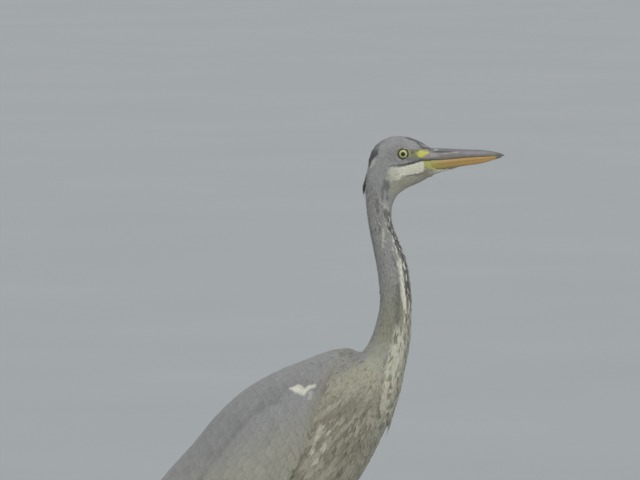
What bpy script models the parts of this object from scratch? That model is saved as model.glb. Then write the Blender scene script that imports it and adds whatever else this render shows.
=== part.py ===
"""A first-year grey heron, life size, standing still with its neck stretched up.

The bird looks along +X, its right side faces -Y, and +Z is up. The origin is on the
floor, below the middle of the bird. Lengths in the tables are millimetres.

Head, neck and trunk are one loft of upright sections, parted by thin cuts. Wings,
thighs, crest and breast plumes are shells and pods whose inner side is cut away by the
body, so that they lie on it. Legs, toes, claws and bill are lofts of their own.
"""

import math
from collections import namedtuple

import bmesh
import bpy
from mathutils import Matrix, Vector

MM = 0.001
GAP = 0.3  # clearance between pieces that touch
CUT = GAP / 2  # each piece draws back this far from a shared cut
GROWN = 0.4  # how far the body's cutter stands out from the body
TAU = 2 * math.pi

# ---------------------------------------------------------------- driving sizes

BODY_SIDES = 24  # points around head, neck and trunk
BODY_STEPS = 2  # rings from one section of the body or wing to the next
BODY_FULLNESS = 0.88  # 1 is an oval, less is fuller at the sides
LIMB_SIDES = 10
HUB_SIDES = 10
TOE_SIDES = 8
CLAW_SIDES = 6

# One upright section across the body: where it meets the midline above and below,
# half its width, and how far down it is widest (0 at the top, 1 at the bottom).
Section = namedtuple("Section", "name top bottom half_width widest")

HEAD = [
    Section("bill base", (183, 866.5), (190, 835), 10, 0.45),
    Section("lores", (174, 872), (179, 825), 13.5, 0.42),
    Section("brow", (161, 878), (166.5, 818), 17.5, 0.38),
    Section("eye", (147, 881.5), (154, 812.5), 20, 0.36),
    Section("crown", (132, 882), (144.5, 807), 21.5, 0.38),
    Section("ear", (118, 877), (138.5, 802.5), 21.5, 0.40),
    Section("hind crown", (108, 867), (135, 798), 20, 0.42),
    Section("nape", (101, 853.5), (132.5, 793), 18.5, 0.45),
]
NECK_UPPER = [
    Section("jaw", (96.5, 837), (130.5, 787.5), 17, 0.48),
    Section("throat", (94, 818), (129.5, 781.5), 15.5, 0.5),
    Section("gullet", (94, 797), (129, 774.5), 14.5, 0.5),
    Section("upper bend", (96, 773.5), (130, 764), 14, 0.5),
]
NECK_MIDDLE = [
    Section("neck, high", (101, 743.5), (135, 749.5), 14.5, 0.5),
    Section("neck, third", (110, 699), (151.5, 707.5), 15.5, 0.5),
]
NECK_LOWER = [
    Section("neck, half", (114, 659), (157.5, 660.5), 17, 0.5),
    Section("neck, low", (112.5, 640), (157, 637), 18, 0.5),
    Section("neck, thick", (108, 622), (156.5, 613.5), 20, 0.5),
    Section("neck root", (101.5, 602.5), (154, 590), 24, 0.48),
]
TRUNK = [
    Section("collar", (87, 581), (149, 564), 30, 0.47),
    Section("shoulder", (67, 588), (137.5, 514.5), 48, 0.44),
    Section("fore breast", (37, 581.5), (121.5, 478.5), 62, 0.43),
    Section("breast", (-0.5, 566), (103.5, 441), 70, 0.43),
    Section("keel", (-39, 544.5), (82, 404), 73, 0.43),
    Section("back", (-73.5, 514), (54.5, 368), 72, 0.43),
    Section("belly", (-105.5, 475.5), (14.5, 335), 66, 0.43),
    Section("loin", (-131.5, 434), (-32, 309), 55, 0.44),
    Section("rump", (-154, 393), (-83, 286.5), 42, 0.45),
    Section("vent", (-174.5, 351.5), (-129, 268.5), 29, 0.46),
    Section("tail root", (-190, 318), (-158, 268), 21, 0.48),
]

EYE_CENTRE = (147.4, 13.2, 859.2)  # of the left eyeball
EYE_RADIUS = 9
SOCKET_RADIUS = EYE_RADIUS + 0.35

# One upright section across the bill: its place along X, its upper and lower edge,
# the mouth line between them, and half its width.
BillSection = namedtuple("BillSection", "x top mouth bottom half_width")

BILL = [
    BillSection(183, 866.5, 850, 835, 9.6),
    BillSection(196, 866.3, 850.5, 836.5, 8.4),
    BillSection(217, 865.5, 852.3, 840, 7.0),
    BillSection(231, 865, 853.7, 842.5, 6.0),
    BillSection(246, 864.7, 854.8, 844.6, 4.9),
    BillSection(258, 864, 855.4, 847, 3.8),
    BillSection(268, 862.7, 855.9, 850, 2.8),
    BillSection(277, 860.9, 856.1, 852.9, 1.9),
    BillSection(282, 859.5, 856.1, 854.6, 1.2),
]
BILL_TIPS = {"bill_upper": 285.6, "bill_lower": 282}
BILL_TIP_DEPTH = {"bill_upper": 1.9, "bill_lower": 0.8}
BILL_TIP_HALF_WIDTH = 0.7

# One section across a folded wing: its upper and lower edge, the upper edge's distance
# from the midline, and the distance of its widest line.
WingSection = namedtuple("WingSection", "top bottom top_y half_width")

WING = [
    WingSection((74, 578), (66, 540), 22, 44),
    WingSection((51, 585), (46, 508), 24, 66),
    WingSection((10, 571), (24, 468), 22, 78),
    WingSection((-36, 552), (-2, 423), 16, 83),
    WingSection((-76, 528), (-39, 376), 10, 83),
    WingSection((-113, 494), (-80, 334), 6, 79),
    WingSection((-148, 452), (-128, 294), 3, 69),
    WingSection((-182, 414), (-176, 263), 2, 56),
    WingSection((-213, 374), (-220, 241), 2, 43),
    WingSection((-241, 325), (-254, 225), 2, 31),
    WingSection((-266, 274), (-274, 216), 2, 20),
    WingSection((-283.5, 224), (-284.8, 213), 2, 12),
]
WING_ARC = math.radians(115)  # how far the wing wraps round from its upper edge
WING_EDGE = 3  # thickness of its upper and lower edge
WING_FILL = 0.9  # how far its inner face reaches toward the midline
WING_MIDDLE = 1  # both wings keep this far from the midline
WING_SIDES = 8

# One section across the tail or a pod: the middle of it in the bird's upright plane,
# half its depth in that plane, and half its width.
Slice = namedtuple("Slice", "middle half_depth half_width")

TAIL = [
    Slice((-196, 278), 18, 23),
    Slice((-216, 260), 9, 25),
    Slice((-240, 239), 5, 27),
    Slice((-262, 219), 3.2, 27.5),
    Slice((-275, 207), 2.2, 24),
    Slice((-281.5, 201), 1.2, 15),
]
CREST = [
    Slice((112, 871), 1.5, 4),
    Slice((105, 862.5), 2.6, 9),
    Slice((99.8, 852), 3, 10.5),
    Slice((95.8, 837), 3, 10),
    Slice((93, 823), 2.8, 8),
    Slice((90.8, 811), 2.2, 5),
    Slice((89.8, 800.5), 0.8, 1.5),
]
CHIN = [
    Slice((170, 833), 9, 9),
    Slice((184, 834.5), 7.5, 8),
    Slice((198, 837.5), 5.5, 6.5),
    Slice((210, 840), 3.8, 4.5),
    Slice((221, 841), 1.2, 1.5),
]
PLUMES = [
    Slice((149.5, 592), 1.5, 7),
    Slice((146.5, 574), 4, 14),
    Slice((141.7, 553), 6, 18),
    Slice((136, 530), 6.5, 18),
    Slice((130, 507), 5.8, 14),
    Slice((126.5, 488), 4.2, 9),
    Slice((123.5, 474), 1.2, 3),
]
THIGH = [
    Slice((2, 388), 18, 8),
    Slice((-5, 362), 28, 14),
    Slice((-16, 332), 32, 19),
    Slice((-27, 302), 28, 19),
    Slice((-37, 271), 20.5, 15),
    Slice((-44, 243), 13, 10.5),
    Slice((-50.5, 215), 7.5, 7.5),
]
THIGH_Y = 39

# The legs stand side by side, the right one a little ahead.
FOOT_X = -45
FOOT_Y = 42
FOOT_TURN = 8  # degrees outward
SIDE_SIGN = {"right": -1, "left": 1}
STRIDE = {"right": 7, "left": -7}

# The bare leg's sections: height, place ahead of the foot, half its depth, half width.
LegSection = namedtuple("LegSection", "height ahead half_depth half_width")

TARSUS = [
    LegSection(14.3, 0, 6, 6.2),
    LegSection(24, -1.5, 5, 4.4),
    LegSection(60, -5, 4.8, 3.9),
    LegSection(110, -10.5, 4.9, 4),
    LegSection(138, -14, 5.8, 5),
    LegSection(150, -16, 7.8, 7.2),
    LegSection(160, -16.5, 8.2, 7.6),
    LegSection(169, -15, 6.6, 6.2),
]
SHANK = [
    LegSection(169.3, -15, 6.5, 6.1),
    LegSection(180, -12.5, 5.3, 4.8),
    LegSection(198, -9, 5.2, 4.7),
    LegSection(212, -6, 5.3, 4.8),
    LegSection(225, -3.5, 5.3, 4.8),
]

HUB_RADIUS = 11.6
HUB_HEIGHT = 14
HUB_STEPS = [(0, 1), (3.5, 1), (7.5, 0.82), (11, 0.62), (HUB_HEIGHT, 0.52)]
SOLE_LEVEL = 0.86  # height of a toe's middle over its flat sole, in half thicknesses
TOE_START = 12  # distance of a toe's first section from the middle of the foot

# A toe's direction (degrees inward from straight ahead), length from the foot's
# middle, joints, thickness at the base and at the tip, and the length of its claw.
Toe = namedtuple("Toe", "direction length joints base tip claw")

TOES = {
    "inner": Toe(30, 82, 2, 7.2, 5, 14),
    "middle": Toe(0, 100, 3, 7.6, 5, 15),
    "outer": Toe(-34, 86, 4, 7.2, 4.8, 13),
    "hind": Toe(172, 54, 1, 7.4, 5.2, 22),
}
TOE_END = 0.8  # the narrowing at both ends of a toe
TOE_PAD = 0.07  # how far the joints swell
CLAW_BASE = 0.86  # of the toe's tip
CLAW_TAPER = [(0, 1), (0.3, 0.86), (0.6, 0.62), (0.85, 0.34), (1, 0.12)]
CLAW_ARCH = 1.4
CLAW_LIFT = 0.5  # the claw's point stays this far above the floor

# ---------------------------------------------------------------- colours

COLOURS = {  # red, green, blue, roughness
    "grey_down": (0.30, 0.31, 0.32, 0.8),
    "neck_down": (0.27, 0.27, 0.26, 0.8),
    "breast_down": (0.26, 0.23, 0.19, 0.8),
    "chin_down": (0.45, 0.42, 0.32, 0.8),
    "crest_feather": (0.05, 0.055, 0.065, 0.7),
    "wing_feather": (0.21, 0.21, 0.21, 0.7),
    "tail_feather": (0.20, 0.20, 0.21, 0.7),
    "bill_upper": (0.13, 0.12, 0.10, 0.4),
    "bill_lower": (0.60, 0.36, 0.09, 0.4),
    "eye": (0.66, 0.60, 0.24, 0.1),
    "leg_scale": (0.23, 0.21, 0.16, 0.6),
    "claw_horn": (0.05, 0.045, 0.04, 0.4),
}


def material(name):
    """The material of that name, made when it is first asked for."""
    found = bpy.data.materials.get(name)
    if found:
        return found
    red, green, blue, roughness = COLOURS[name]
    made = bpy.data.materials.new(name)
    made.use_nodes = True
    shader = made.node_tree.nodes["Principled BSDF"]
    shader.inputs["Base Color"].default_value = (red, green, blue, 1)
    shader.inputs["Roughness"].default_value = roughness
    shader.inputs["Metallic"].default_value = 0
    return made


# ---------------------------------------------------------------- ways of making


def smooth_value(rows, place):
    """A Catmull-Rom value of equal-length number rows at a fractional index."""
    last = len(rows) - 1
    at = min(int(place), last - 1)
    t = place - at
    before, a, b, after = (rows[max(0, min(last, at + k))] for k in (-1, 0, 1, 2))
    out = []
    for p, q, r, s in zip(before, a, b, after):
        out.append(
            q
            + 0.5 * t * (r - p)
            + t * t * (p - 2.5 * q + 2 * r - 0.5 * s)
            + t * t * t * (1.5 * (q - r) + 0.5 * (s - p))
        )
    return out


def spread(rows, steps):
    """Rows read at evenly spaced places, steps of them between two rows."""
    count = (len(rows) - 1) * steps
    return [smooth_value(rows, k / steps) for k in range(count + 1)]


def loft(name, rings, colour):
    """A closed object skinned over rings of points, with flat ends."""
    built = bmesh.new()
    loops = [[built.verts.new(Vector(p) * MM) for p in ring] for ring in rings]
    count = len(loops[0])
    for near, far in zip(loops, loops[1:]):
        for k in range(count):
            after = (k + 1) % count
            built.faces.new((near[k], near[after], far[after], far[k]))
    built.faces.new(loops[0])
    built.faces.new(loops[-1])
    bmesh.ops.recalc_face_normals(built, faces=built.faces)
    return finish(name, built, colour)


def finish(name, built, colour):
    """Turns a bmesh into an object with its material and smooth shading."""
    bmesh.ops.triangulate(built, faces=built.faces)
    mesh = bpy.data.meshes.new(name)
    built.to_mesh(mesh)
    built.free()
    mesh.materials.append(material(colour))
    mesh.shade_smooth()
    mesh.set_sharp_from_angle(angle=math.radians(50))
    made = bpy.data.objects.new(name, mesh)
    bpy.context.scene.collection.objects.link(made)
    return made


def cutter(made):
    """Marks an object as a guide that only cuts."""
    made.hide_render = True
    made.display_type = "WIRE"
    return made


def grown_cutter(made):
    """A copy of an object grown by the gap, to cut away what lies beside it."""
    copy = bpy.data.objects.new(made.name + "_cutter", made.data.copy())
    bpy.context.scene.collection.objects.link(copy)
    normals = [v.normal.copy() for v in copy.data.vertices]
    for vert, normal in zip(copy.data.vertices, normals):
        vert.co += normal * GROWN * MM
    return cutter(copy)


def largest_body(built):
    """Keeps the largest connected body of a bmesh and drops the scraps."""
    left = set(built.verts)
    bodies = []
    while left:
        body = set()
        edge_of_body = [left.pop()]
        while edge_of_body:
            vert = edge_of_body.pop()
            body.add(vert)
            near = {e.other_vert(vert) for e in vert.link_edges} & left
            left -= near
            edge_of_body.extend(near)
        bodies.append(body)
    bodies.sort(key=len)
    scraps = [vert for body in bodies[:-1] for vert in body]
    bmesh.ops.delete(built, geom=scraps, context="VERTS")


def cut_away(made, cutters):
    """Cuts the cutters out of an object for good, and keeps its largest body."""
    for tool in cutters:
        step = made.modifiers.new("cut", "BOOLEAN")
        step.operation = "DIFFERENCE"
        step.solver = "EXACT"
        step.object = tool
    seen = made.evaluated_get(bpy.context.evaluated_depsgraph_get())
    mesh = bpy.data.meshes.new_from_object(seen)
    made.modifiers.clear()
    built = bmesh.new()
    built.from_mesh(mesh)
    largest_body(built)
    bmesh.ops.dissolve_degenerate(built, edges=built.edges, dist=0.02 * MM)
    bmesh.ops.triangulate(built, faces=built.faces)
    built.to_mesh(mesh)
    built.free()
    mesh.shade_smooth()
    mesh.set_sharp_from_angle(angle=math.radians(50))
    made.data = mesh


# ---------------------------------------------------------------- head, neck, trunk


def body_ring(top_x, top_z, bottom_x, bottom_z, half_width, widest):
    """Points around one upright section, egg-shaped and widest where asked."""
    power = math.log(widest) / math.log(0.5)
    ring = []
    for k in range(BODY_SIDES):
        angle = TAU * k / BODY_SIDES
        down = ((1 - math.cos(angle)) / 2) ** power
        side = math.sin(angle)
        x = top_x + (bottom_x - top_x) * down
        z = top_z + (bottom_z - top_z) * down
        y = half_width * math.copysign(abs(side) ** BODY_FULLNESS, side)
        ring.append((x, y, z))
    return ring


def section_row(section):
    """A section's numbers in one row, to be smoothed and spread."""
    return (*section.top, *section.bottom, section.half_width, section.widest)


def moved_ring(ring, row, step):
    """A ring slid along its plane's normal, step being positive toward the tail."""
    top_x, top_z, bottom_x, bottom_z = row[:4]
    across = Vector((bottom_x - top_x, 0, bottom_z - top_z)).normalized()
    backward = Vector((across.z, 0, -across.x))
    return [Vector(p) + backward * step for p in ring]


def make_body():
    """Head, three lengths of neck and the trunk, and the cutter in their shape."""
    pieces = [
        ("head", HEAD, "grey_down"),
        ("neck_upper", NECK_UPPER, "neck_down"),
        ("neck_middle", NECK_MIDDLE, "neck_down"),
        ("neck_lower", NECK_LOWER, "neck_down"),
        ("trunk", TRUNK, "breast_down"),
    ]
    sections = [section for _, part, _ in pieces for section in part]
    rows = spread([section_row(s) for s in sections], BODY_STEPS)
    rings = [body_ring(*row) for row in rows]
    made = {}
    first = 0
    for name, part, colour in pieces:
        last = min(first + len(part) * BODY_STEPS, len(rows) - 1)
        own = rings[first : last + 1]
        if first:
            own[0] = moved_ring(own[0], rows[first], CUT)
        if last < len(rows) - 1:
            own[-1] = moved_ring(own[-1], rows[last], -CUT)
        made[name] = loft(name, own, colour)
        first = last
    whole = cutter(loft("body", rings, "grey_down"))
    return made, grown_cutter(whole)


def ball(name, centre, radius, colour):
    """A ball whose poles point to the sides."""
    built = bmesh.new()
    bmesh.ops.create_uvsphere(built, u_segments=12, v_segments=6, radius=radius * MM)
    bmesh.ops.transform(built, matrix=Matrix.Rotation(TAU / 4, 4, "X"), verts=built.verts)
    bmesh.ops.translate(built, vec=Vector(centre) * MM, verts=built.verts)
    return finish(name, built, colour)


def make_eyes(head):
    """The eyeballs, and the sockets they sit in."""
    x, y, z = EYE_CENTRE
    sockets = []
    for side, sign in SIDE_SIGN.items():
        centre = (x, sign * y, z)
        ball("eye_" + side, centre, EYE_RADIUS, "eye")
        socket = ball("socket_cutter_" + side, centre, SOCKET_RADIUS, "eye")
        sockets.append(cutter(socket))
    cut_away(head, sockets)


# ---------------------------------------------------------------- bill


def bill_base_x(height):
    """Where the bill's base plane lies at some height, leaning as the head's does."""
    (top_x, top_z), (bottom_x, bottom_z) = HEAD[0].top, HEAD[0].bottom
    down = (top_z - height) / (top_z - bottom_z)
    return top_x + (bottom_x - top_x) * down + GAP


def bill_ring(x, ridge, mouth, half_width):
    """Half of the bill across: flat at the mouth line, narrowing to its ridge."""
    outline = [(0, 1), (0.42, 0.9), (0.78, 0.62), (0.97, 0.25), (0.94, 0)]
    shape = outline + [(-y, up) for y, up in reversed(outline[1:])]
    return [(x, half_width * y, mouth + (ridge - mouth) * up) for y, up in shape]


def make_bill():
    """Both halves of the bill, parted along the mouth line."""
    made = {}
    for name, tip_x in BILL_TIPS.items():
        way = 1 if name == "bill_upper" else -1
        rings = []
        for part in BILL:
            if part.x < tip_x - 1:
                ridge = part.top if way > 0 else part.bottom
                mouth = part.mouth + way * CUT
                rings.append(bill_ring(part.x, ridge, mouth, part.half_width))
        rings[0] = [(bill_base_x(z), y, z) for _, y, z in rings[0]]
        mouth = BILL[-1].mouth + way * CUT
        ridge = mouth + way * BILL_TIP_DEPTH[name]
        rings.append(bill_ring(tip_x, ridge, mouth, BILL_TIP_HALF_WIDTH))
        made[name] = loft(name, rings, name)
    return made


# ---------------------------------------------------------------- wings


def wing_ring(row, sign):
    """Points around a folded wing's section, outer face first, then the inner one."""
    top_x, top_z, bottom_x, bottom_z, top_y, half_width = row
    top = Vector((top_x, WING_MIDDLE, top_z))
    bottom = Vector((bottom_x, WING_MIDDLE, bottom_z))
    inside = top.lerp(bottom, 0.5)
    outer, inner = [], []
    for k in range(WING_SIDES + 1):
        share = k / WING_SIDES
        angle = WING_ARC * share
        point = top.lerp(bottom, (1 - math.cos(angle)) / (1 - math.cos(WING_ARC)))
        point.y = top_y + (half_width - top_y) * math.sin(angle)
        inward = inside - point
        depth = WING_FILL * inward.length * math.sin(math.pi * share) ** 0.5
        if k == 0:  # straight down, so that the two wings stay on their own sides
            inward.y = 0
        outer.append(point)
        inner.append(point + inward.normalized() * max(depth, WING_EDGE))
    return [(p.x, sign * p.y, p.z) for p in outer + inner[::-1]]


def make_wings(body, tail):
    """The two folded wings, cut away where the body and the tail are."""
    rows = [(*s.top, *s.bottom, s.top_y, s.half_width) for s in WING]
    made = {}
    for side, sign in SIDE_SIGN.items():
        rings = [wing_ring(row, sign) for row in spread(rows, BODY_STEPS)]
        wing = loft("wing_" + side, rings, "wing_feather")
        cut_away(wing, [body, grown_cutter(tail)])
        made[side] = wing
    return made


# ---------------------------------------------------------------- tail and pods


def slice_rings(slices, steps, sides, centre_y=0, shift_x=0):
    """Oval rings along a path in the upright plane, square to the path."""
    rows = spread([(*s.middle, s.half_depth, s.half_width) for s in slices], steps)
    rings = []
    for k, (x, z, half_depth, half_width) in enumerate(rows):
        x_before, z_before = rows[max(0, k - 1)][:2]
        x_after, z_after = rows[min(len(rows) - 1, k + 1)][:2]
        along = Vector((x_after - x_before, 0, z_after - z_before)).normalized()
        across = Vector((along.z, 0, -along.x))
        ring = []
        for n in range(sides):
            angle = TAU * n / sides
            point = Vector((x + shift_x, centre_y, z))
            point += across * half_depth * math.cos(angle)
            point.y += half_width * math.sin(angle)
            ring.append(point)
        rings.append(ring)
    return rings


def make_tail():
    """The folded tail, which grows out of the last section of the trunk."""
    row = section_row(TRUNK[-1])
    root = moved_ring(body_ring(*row), row, GAP)
    return loft("tail", [root, *slice_rings(TAIL, 1, BODY_SIDES)], "tail_feather")


def make_pods(body, lower_bill, wings, shanks):
    """Crest, chin, breast plumes and thighs, each cut away where it meets the body."""
    crest = loft("crest", slice_rings(CREST, 1, 10), "crest_feather")
    cut_away(crest, [body])
    chin = loft("chin", slice_rings(CHIN, 1, 10), "chin_down")
    cut_away(chin, [body, grown_cutter(lower_bill)])
    plumes = loft("breast_plumes", slice_rings(PLUMES, 1, 12), "breast_down")
    cut_away(plumes, [body])
    for side, sign in SIDE_SIGN.items():
        rings = slice_rings(THIGH, 1, 14, sign * THIGH_Y, STRIDE[side])
        thigh = loft("thigh_" + side, rings, "neck_down")
        beside = [grown_cutter(wings[side]), grown_cutter(shanks[side])]
        cut_away(thigh, [body, *beside])


# ---------------------------------------------------------------- legs and feet


def leg_rings(sections, side):
    """Level rings up a bare leg."""
    sign = SIDE_SIGN[side]
    rings = []
    for height, ahead, half_depth, half_width in sections:
        ring = []
        for n in range(LIMB_SIDES):
            angle = TAU * n / LIMB_SIDES
            x = FOOT_X + STRIDE[side] + ahead + half_depth * math.cos(angle)
            y = sign * FOOT_Y + half_width * math.sin(angle)
            ring.append((x, y, height))
        rings.append(ring)
    return rings


def make_legs():
    """The bare legs, parted just above the ankle. Each shank ends inside its thigh."""
    shanks = {}
    for side in SIDE_SIGN:
        loft("tarsus_" + side, leg_rings(TARSUS, side), "leg_scale")
        shanks[side] = loft("shank_" + side, leg_rings(SHANK, side), "leg_scale")
    return shanks


def toe_ring(start, along, distance, half, sides):
    """A rounded ring across a toe, flat where it would pass below the floor."""
    sideways = Vector((-along.y, along.x, 0))
    ring = []
    for n in range(sides):
        angle = TAU * (n + 0.5) / sides
        point = start + along * distance + sideways * half * math.cos(angle)
        point.z = max(0, half * SOLE_LEVEL + half * math.sin(angle))
        ring.append(point)
    return ring


def make_toe(side, name, toe, middle):
    """One toe with its joint pads, and the claw at its end."""
    sign = SIDE_SIGN[side]
    turn = math.radians(sign * (FOOT_TURN - toe.direction))
    along = Vector((math.cos(turn), math.sin(turn), 0))
    steps = 2 * (toe.joints + 1) + 1
    rings = []
    for k in range(steps + 1):
        share = k / steps
        half = (toe.base + (toe.tip - toe.base) * share) / 2
        pad = 1 + TOE_PAD * math.cos(TAU * share * (toe.joints + 1))
        start = TOE_START / toe.length
        distance = toe.length * (start + (1 - start) * share)
        squeeze = TOE_END if k in (0, steps) else 1
        rings.append(toe_ring(middle, along, distance, half * pad * squeeze, TOE_SIDES))
    loft("_".join(("toe", side, name)), rings, "leg_scale")
    rings = []
    for share, thick in CLAW_TAPER:
        half = toe.tip / 2 * CLAW_BASE * thick
        distance = toe.length + GAP + toe.claw * share
        ring = toe_ring(middle, along, distance, half, CLAW_SIDES)
        arch = CLAW_ARCH * math.sin(math.pi * share) + CLAW_LIFT
        rings.append([p + Vector((0, 0, arch)) for p in ring])
    loft("_".join(("claw", side, name)), rings, "claw_horn")


def make_feet():
    """The middles of the feet with their toes and claws."""
    for side, sign in SIDE_SIGN.items():
        middle = Vector((FOOT_X + STRIDE[side], sign * FOOT_Y, 0))
        rings = []
        for height, size in HUB_STEPS:
            ring = []
            for n in range(HUB_SIDES):
                angle = TAU * n / HUB_SIDES
                reach = HUB_RADIUS * size
                out = Vector((math.cos(angle), math.sin(angle), 0)) * reach
                ring.append(middle + out + Vector((0, 0, height)))
            rings.append(ring)
        loft("foot_" + side, rings, "leg_scale")
        for name, toe in TOES.items():
            make_toe(side, name, toe, middle)


# ---------------------------------------------------------------- the whole bird


def clear_scene():
    """Removes whatever objects the file starts with."""
    for old in list(bpy.data.objects):
        bpy.data.objects.remove(old)


clear_scene()
body_parts, body_cutter = make_body()
make_eyes(body_parts["head"])
bill = make_bill()
folded_wings = make_wings(body_cutter, make_tail())
bare_legs = make_legs()
make_pods(body_cutter, bill["bill_lower"], folded_wings, bare_legs)
make_feet()
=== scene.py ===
import math
from collections import namedtuple

import bmesh
import bpy
import numpy as np
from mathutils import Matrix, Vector
from mathutils.bvhtree import BVHTree
from mathutils.kdtree import KDTree


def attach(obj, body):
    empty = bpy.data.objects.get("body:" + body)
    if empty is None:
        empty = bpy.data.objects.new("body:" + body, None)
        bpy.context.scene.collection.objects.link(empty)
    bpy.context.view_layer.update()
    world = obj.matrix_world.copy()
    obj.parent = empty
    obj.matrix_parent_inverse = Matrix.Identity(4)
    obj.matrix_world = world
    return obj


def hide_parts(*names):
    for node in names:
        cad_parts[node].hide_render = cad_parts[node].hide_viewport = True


# A first-year grey heron, life size, standing still with its neck stretched up. It looks
# along +X and its right side faces -Y. Sizes and places are millimetres, and MM turns
# them into the scene's metres.

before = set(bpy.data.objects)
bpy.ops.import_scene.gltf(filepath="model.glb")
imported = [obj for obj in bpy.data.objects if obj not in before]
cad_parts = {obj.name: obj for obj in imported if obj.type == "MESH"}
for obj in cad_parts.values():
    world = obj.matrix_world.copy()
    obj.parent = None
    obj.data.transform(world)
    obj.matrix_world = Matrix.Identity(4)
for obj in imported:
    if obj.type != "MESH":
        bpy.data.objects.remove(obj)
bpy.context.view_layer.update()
MM = 0.001
RIGHT, LEFT = -1, 1
SIDES = {"right": RIGHT, "left": LEFT}

# ---------------------------------------------------------------- studio
# The bird stands on a wide, pale, faintly blue floor under an even sky. It is seen from
# far off through a long lens, from a little above and almost square to its right side.

VIEW_TURN = math.radians(8)
VIEW_RISE = math.radians(4)
VIEW_DISTANCE = 12
VIEW_CENTRE = Vector((0.030, 0, 0.738))
VIEW_LENS = 489
FILM_WIDTH = 36
FAR_LIMIT = 1000
FLOOR_REACH = 90
FLOOR_TONES = (0.325, 0.342, 0.350), (0.362, 0.375, 0.380)
SKY = (0.80, 0.83, 0.86)
SKY_STRENGTH = 0.80
LAMP_STRENGTH = 1.6
LAMP_SOFTNESS = math.radians(70)
LAMP_FROM = Vector((0.5, -1.0, 0.9))


def placed(name, data):
    """A new object in the scene that shows some data."""
    thing = bpy.data.objects.new(name, data)
    bpy.context.scene.collection.objects.link(thing)
    return thing


camera = placed("camera", bpy.data.cameras.new("camera"))
away = Vector(
    (
        math.sin(VIEW_TURN) * math.cos(VIEW_RISE),
        -math.cos(VIEW_TURN) * math.cos(VIEW_RISE),
        math.sin(VIEW_RISE),
    )
)
camera.location = VIEW_CENTRE + away * VIEW_DISTANCE
camera.rotation_euler = away.to_track_quat("Z", "Y").to_euler()
camera.data.lens = VIEW_LENS
camera.data.sensor_width = FILM_WIDTH
camera.data.clip_end = FAR_LIMIT
bpy.context.scene.camera = camera

lamp = placed("soft_lamp", bpy.data.lights.new("soft_lamp", "SUN"))
lamp.data.energy = LAMP_STRENGTH
lamp.data.angle = LAMP_SOFTNESS
lamp.rotation_euler = LAMP_FROM.to_track_quat("Z", "Y").to_euler()

sky = bpy.data.worlds.new("even_sky")
sky.use_nodes = True
sky.node_tree.nodes["Background"].inputs["Color"].default_value = (*SKY, 1)
sky.node_tree.nodes["Background"].inputs["Strength"].default_value = SKY_STRENGTH
bpy.context.scene.world = sky
bpy.context.scene.view_settings.view_transform = "Standard"


def make_floor():
    """A flat square floor with a faint, broad unevenness of tone."""
    mesh = bpy.data.meshes.new("floor")
    r = FLOOR_REACH
    mesh.from_pydata([(-r, -r, 0), (r, -r, 0), (r, r, 0), (-r, r, 0)], [], [(0, 1, 2, 3)])
    paint = bpy.data.materials.new("floor_paint")
    paint.use_nodes = True
    nodes, links = paint.node_tree.nodes, paint.node_tree.links
    shader = nodes["Principled BSDF"]
    shader.inputs["Roughness"].default_value = 0.85
    cloud = nodes.new("ShaderNodeTexNoise")
    cloud.inputs["Scale"].default_value = 1.3
    place = nodes.new("ShaderNodeTexCoord")
    links.new(place.outputs["Object"], cloud.inputs["Vector"])
    tone = nodes.new("ShaderNodeMix")
    tone.data_type = "RGBA"
    for end, colour in zip("AB", FLOOR_TONES):
        tone.inputs[end].default_value = (*colour, 1)
    links.new(cloud.outputs["Fac"], tone.inputs["Factor"])
    links.new(tone.outputs["Result"], shader.inputs["Base Color"])
    mesh.materials.append(paint)
    placed("floor", mesh)


make_floor()

# ---------------------------------------------------------------- skin
# One thin skin runs from the root of the bill over head, neck, trunk, thighs and folded
# wings. It is the solids' shape fused into one, drawn in by the depth of the plumage.
# It is bare only round the eyes, where it folds into lids, on the lores and by the jaw.

FLESH = {  # the solids it stands for, and how deep under their surface it lies
    "head": (["head", "chin", "eye_right", "eye_left"], 0.9),
    "neck": (["neck_upper", "neck_middle", "neck_lower"], 2.2),
    "trunk": (["trunk"], 4.5),
    "thigh": (["thigh_right", "thigh_left"], 2.6),
    "wing": (["wing_right", "wing_left"], 2.4),
}
FUSED_GRAIN = 2.2
FUSED_SWELL = 0.35  # closes the gaps between the solids

# The middle line of the bird in its upright plane, from the bill to the tail's end.
MIDDLE = [
    (186.5, 850), (150, 847), (138, 844), (122, 835), (113, 812), (112, 800),
    (111.5, 786), (113, 769), (118, 746.5), (131, 703), (136, 660), (135, 638),
    (132, 618), (128, 596), (118, 572), (102, 551), (79, 530), (51.5, 503.5),
    (21.5, 474), (-9.5, 441), (-45.5, 405), (-82, 371.5), (-118.5, 340),
    (-151.5, 310), (-174, 293), (-281.5, 201),
]


def between_rows(rows, at):
    """Rows of numbers read at fractional places, on a smooth curve through them."""
    rows = np.asarray(rows, float)
    last = len(rows) - 1
    near = np.clip(np.floor(at).astype(int), 0, last - 1)
    t = (at - near)[:, None]
    a, b = rows[near], rows[near + 1]
    before, after = rows[np.maximum(near - 1, 0)], rows[np.minimum(near + 2, last)]
    straight = 0.5 * t * (b - before)
    bend = t**2 * (before - 2.5 * a + 2 * b - 0.5 * after)
    return a + straight + bend + t**3 * (1.5 * (a - b) + 0.5 * (after - before))


def unit(vectors):
    """Vectors brought to length one."""
    size = np.linalg.norm(vectors, axis=-1, keepdims=True)
    return vectors / np.maximum(size, 1e-9)


middle_at = np.linspace(0, len(MIDDLE) - 1, 400)
middle_points = between_rows(MIDDLE, middle_at)
middle_ways = unit(np.gradient(middle_points, axis=0))
middle_run = np.r_[0, np.cumsum(np.linalg.norm(np.diff(middle_points, axis=0), axis=1))]


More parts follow.
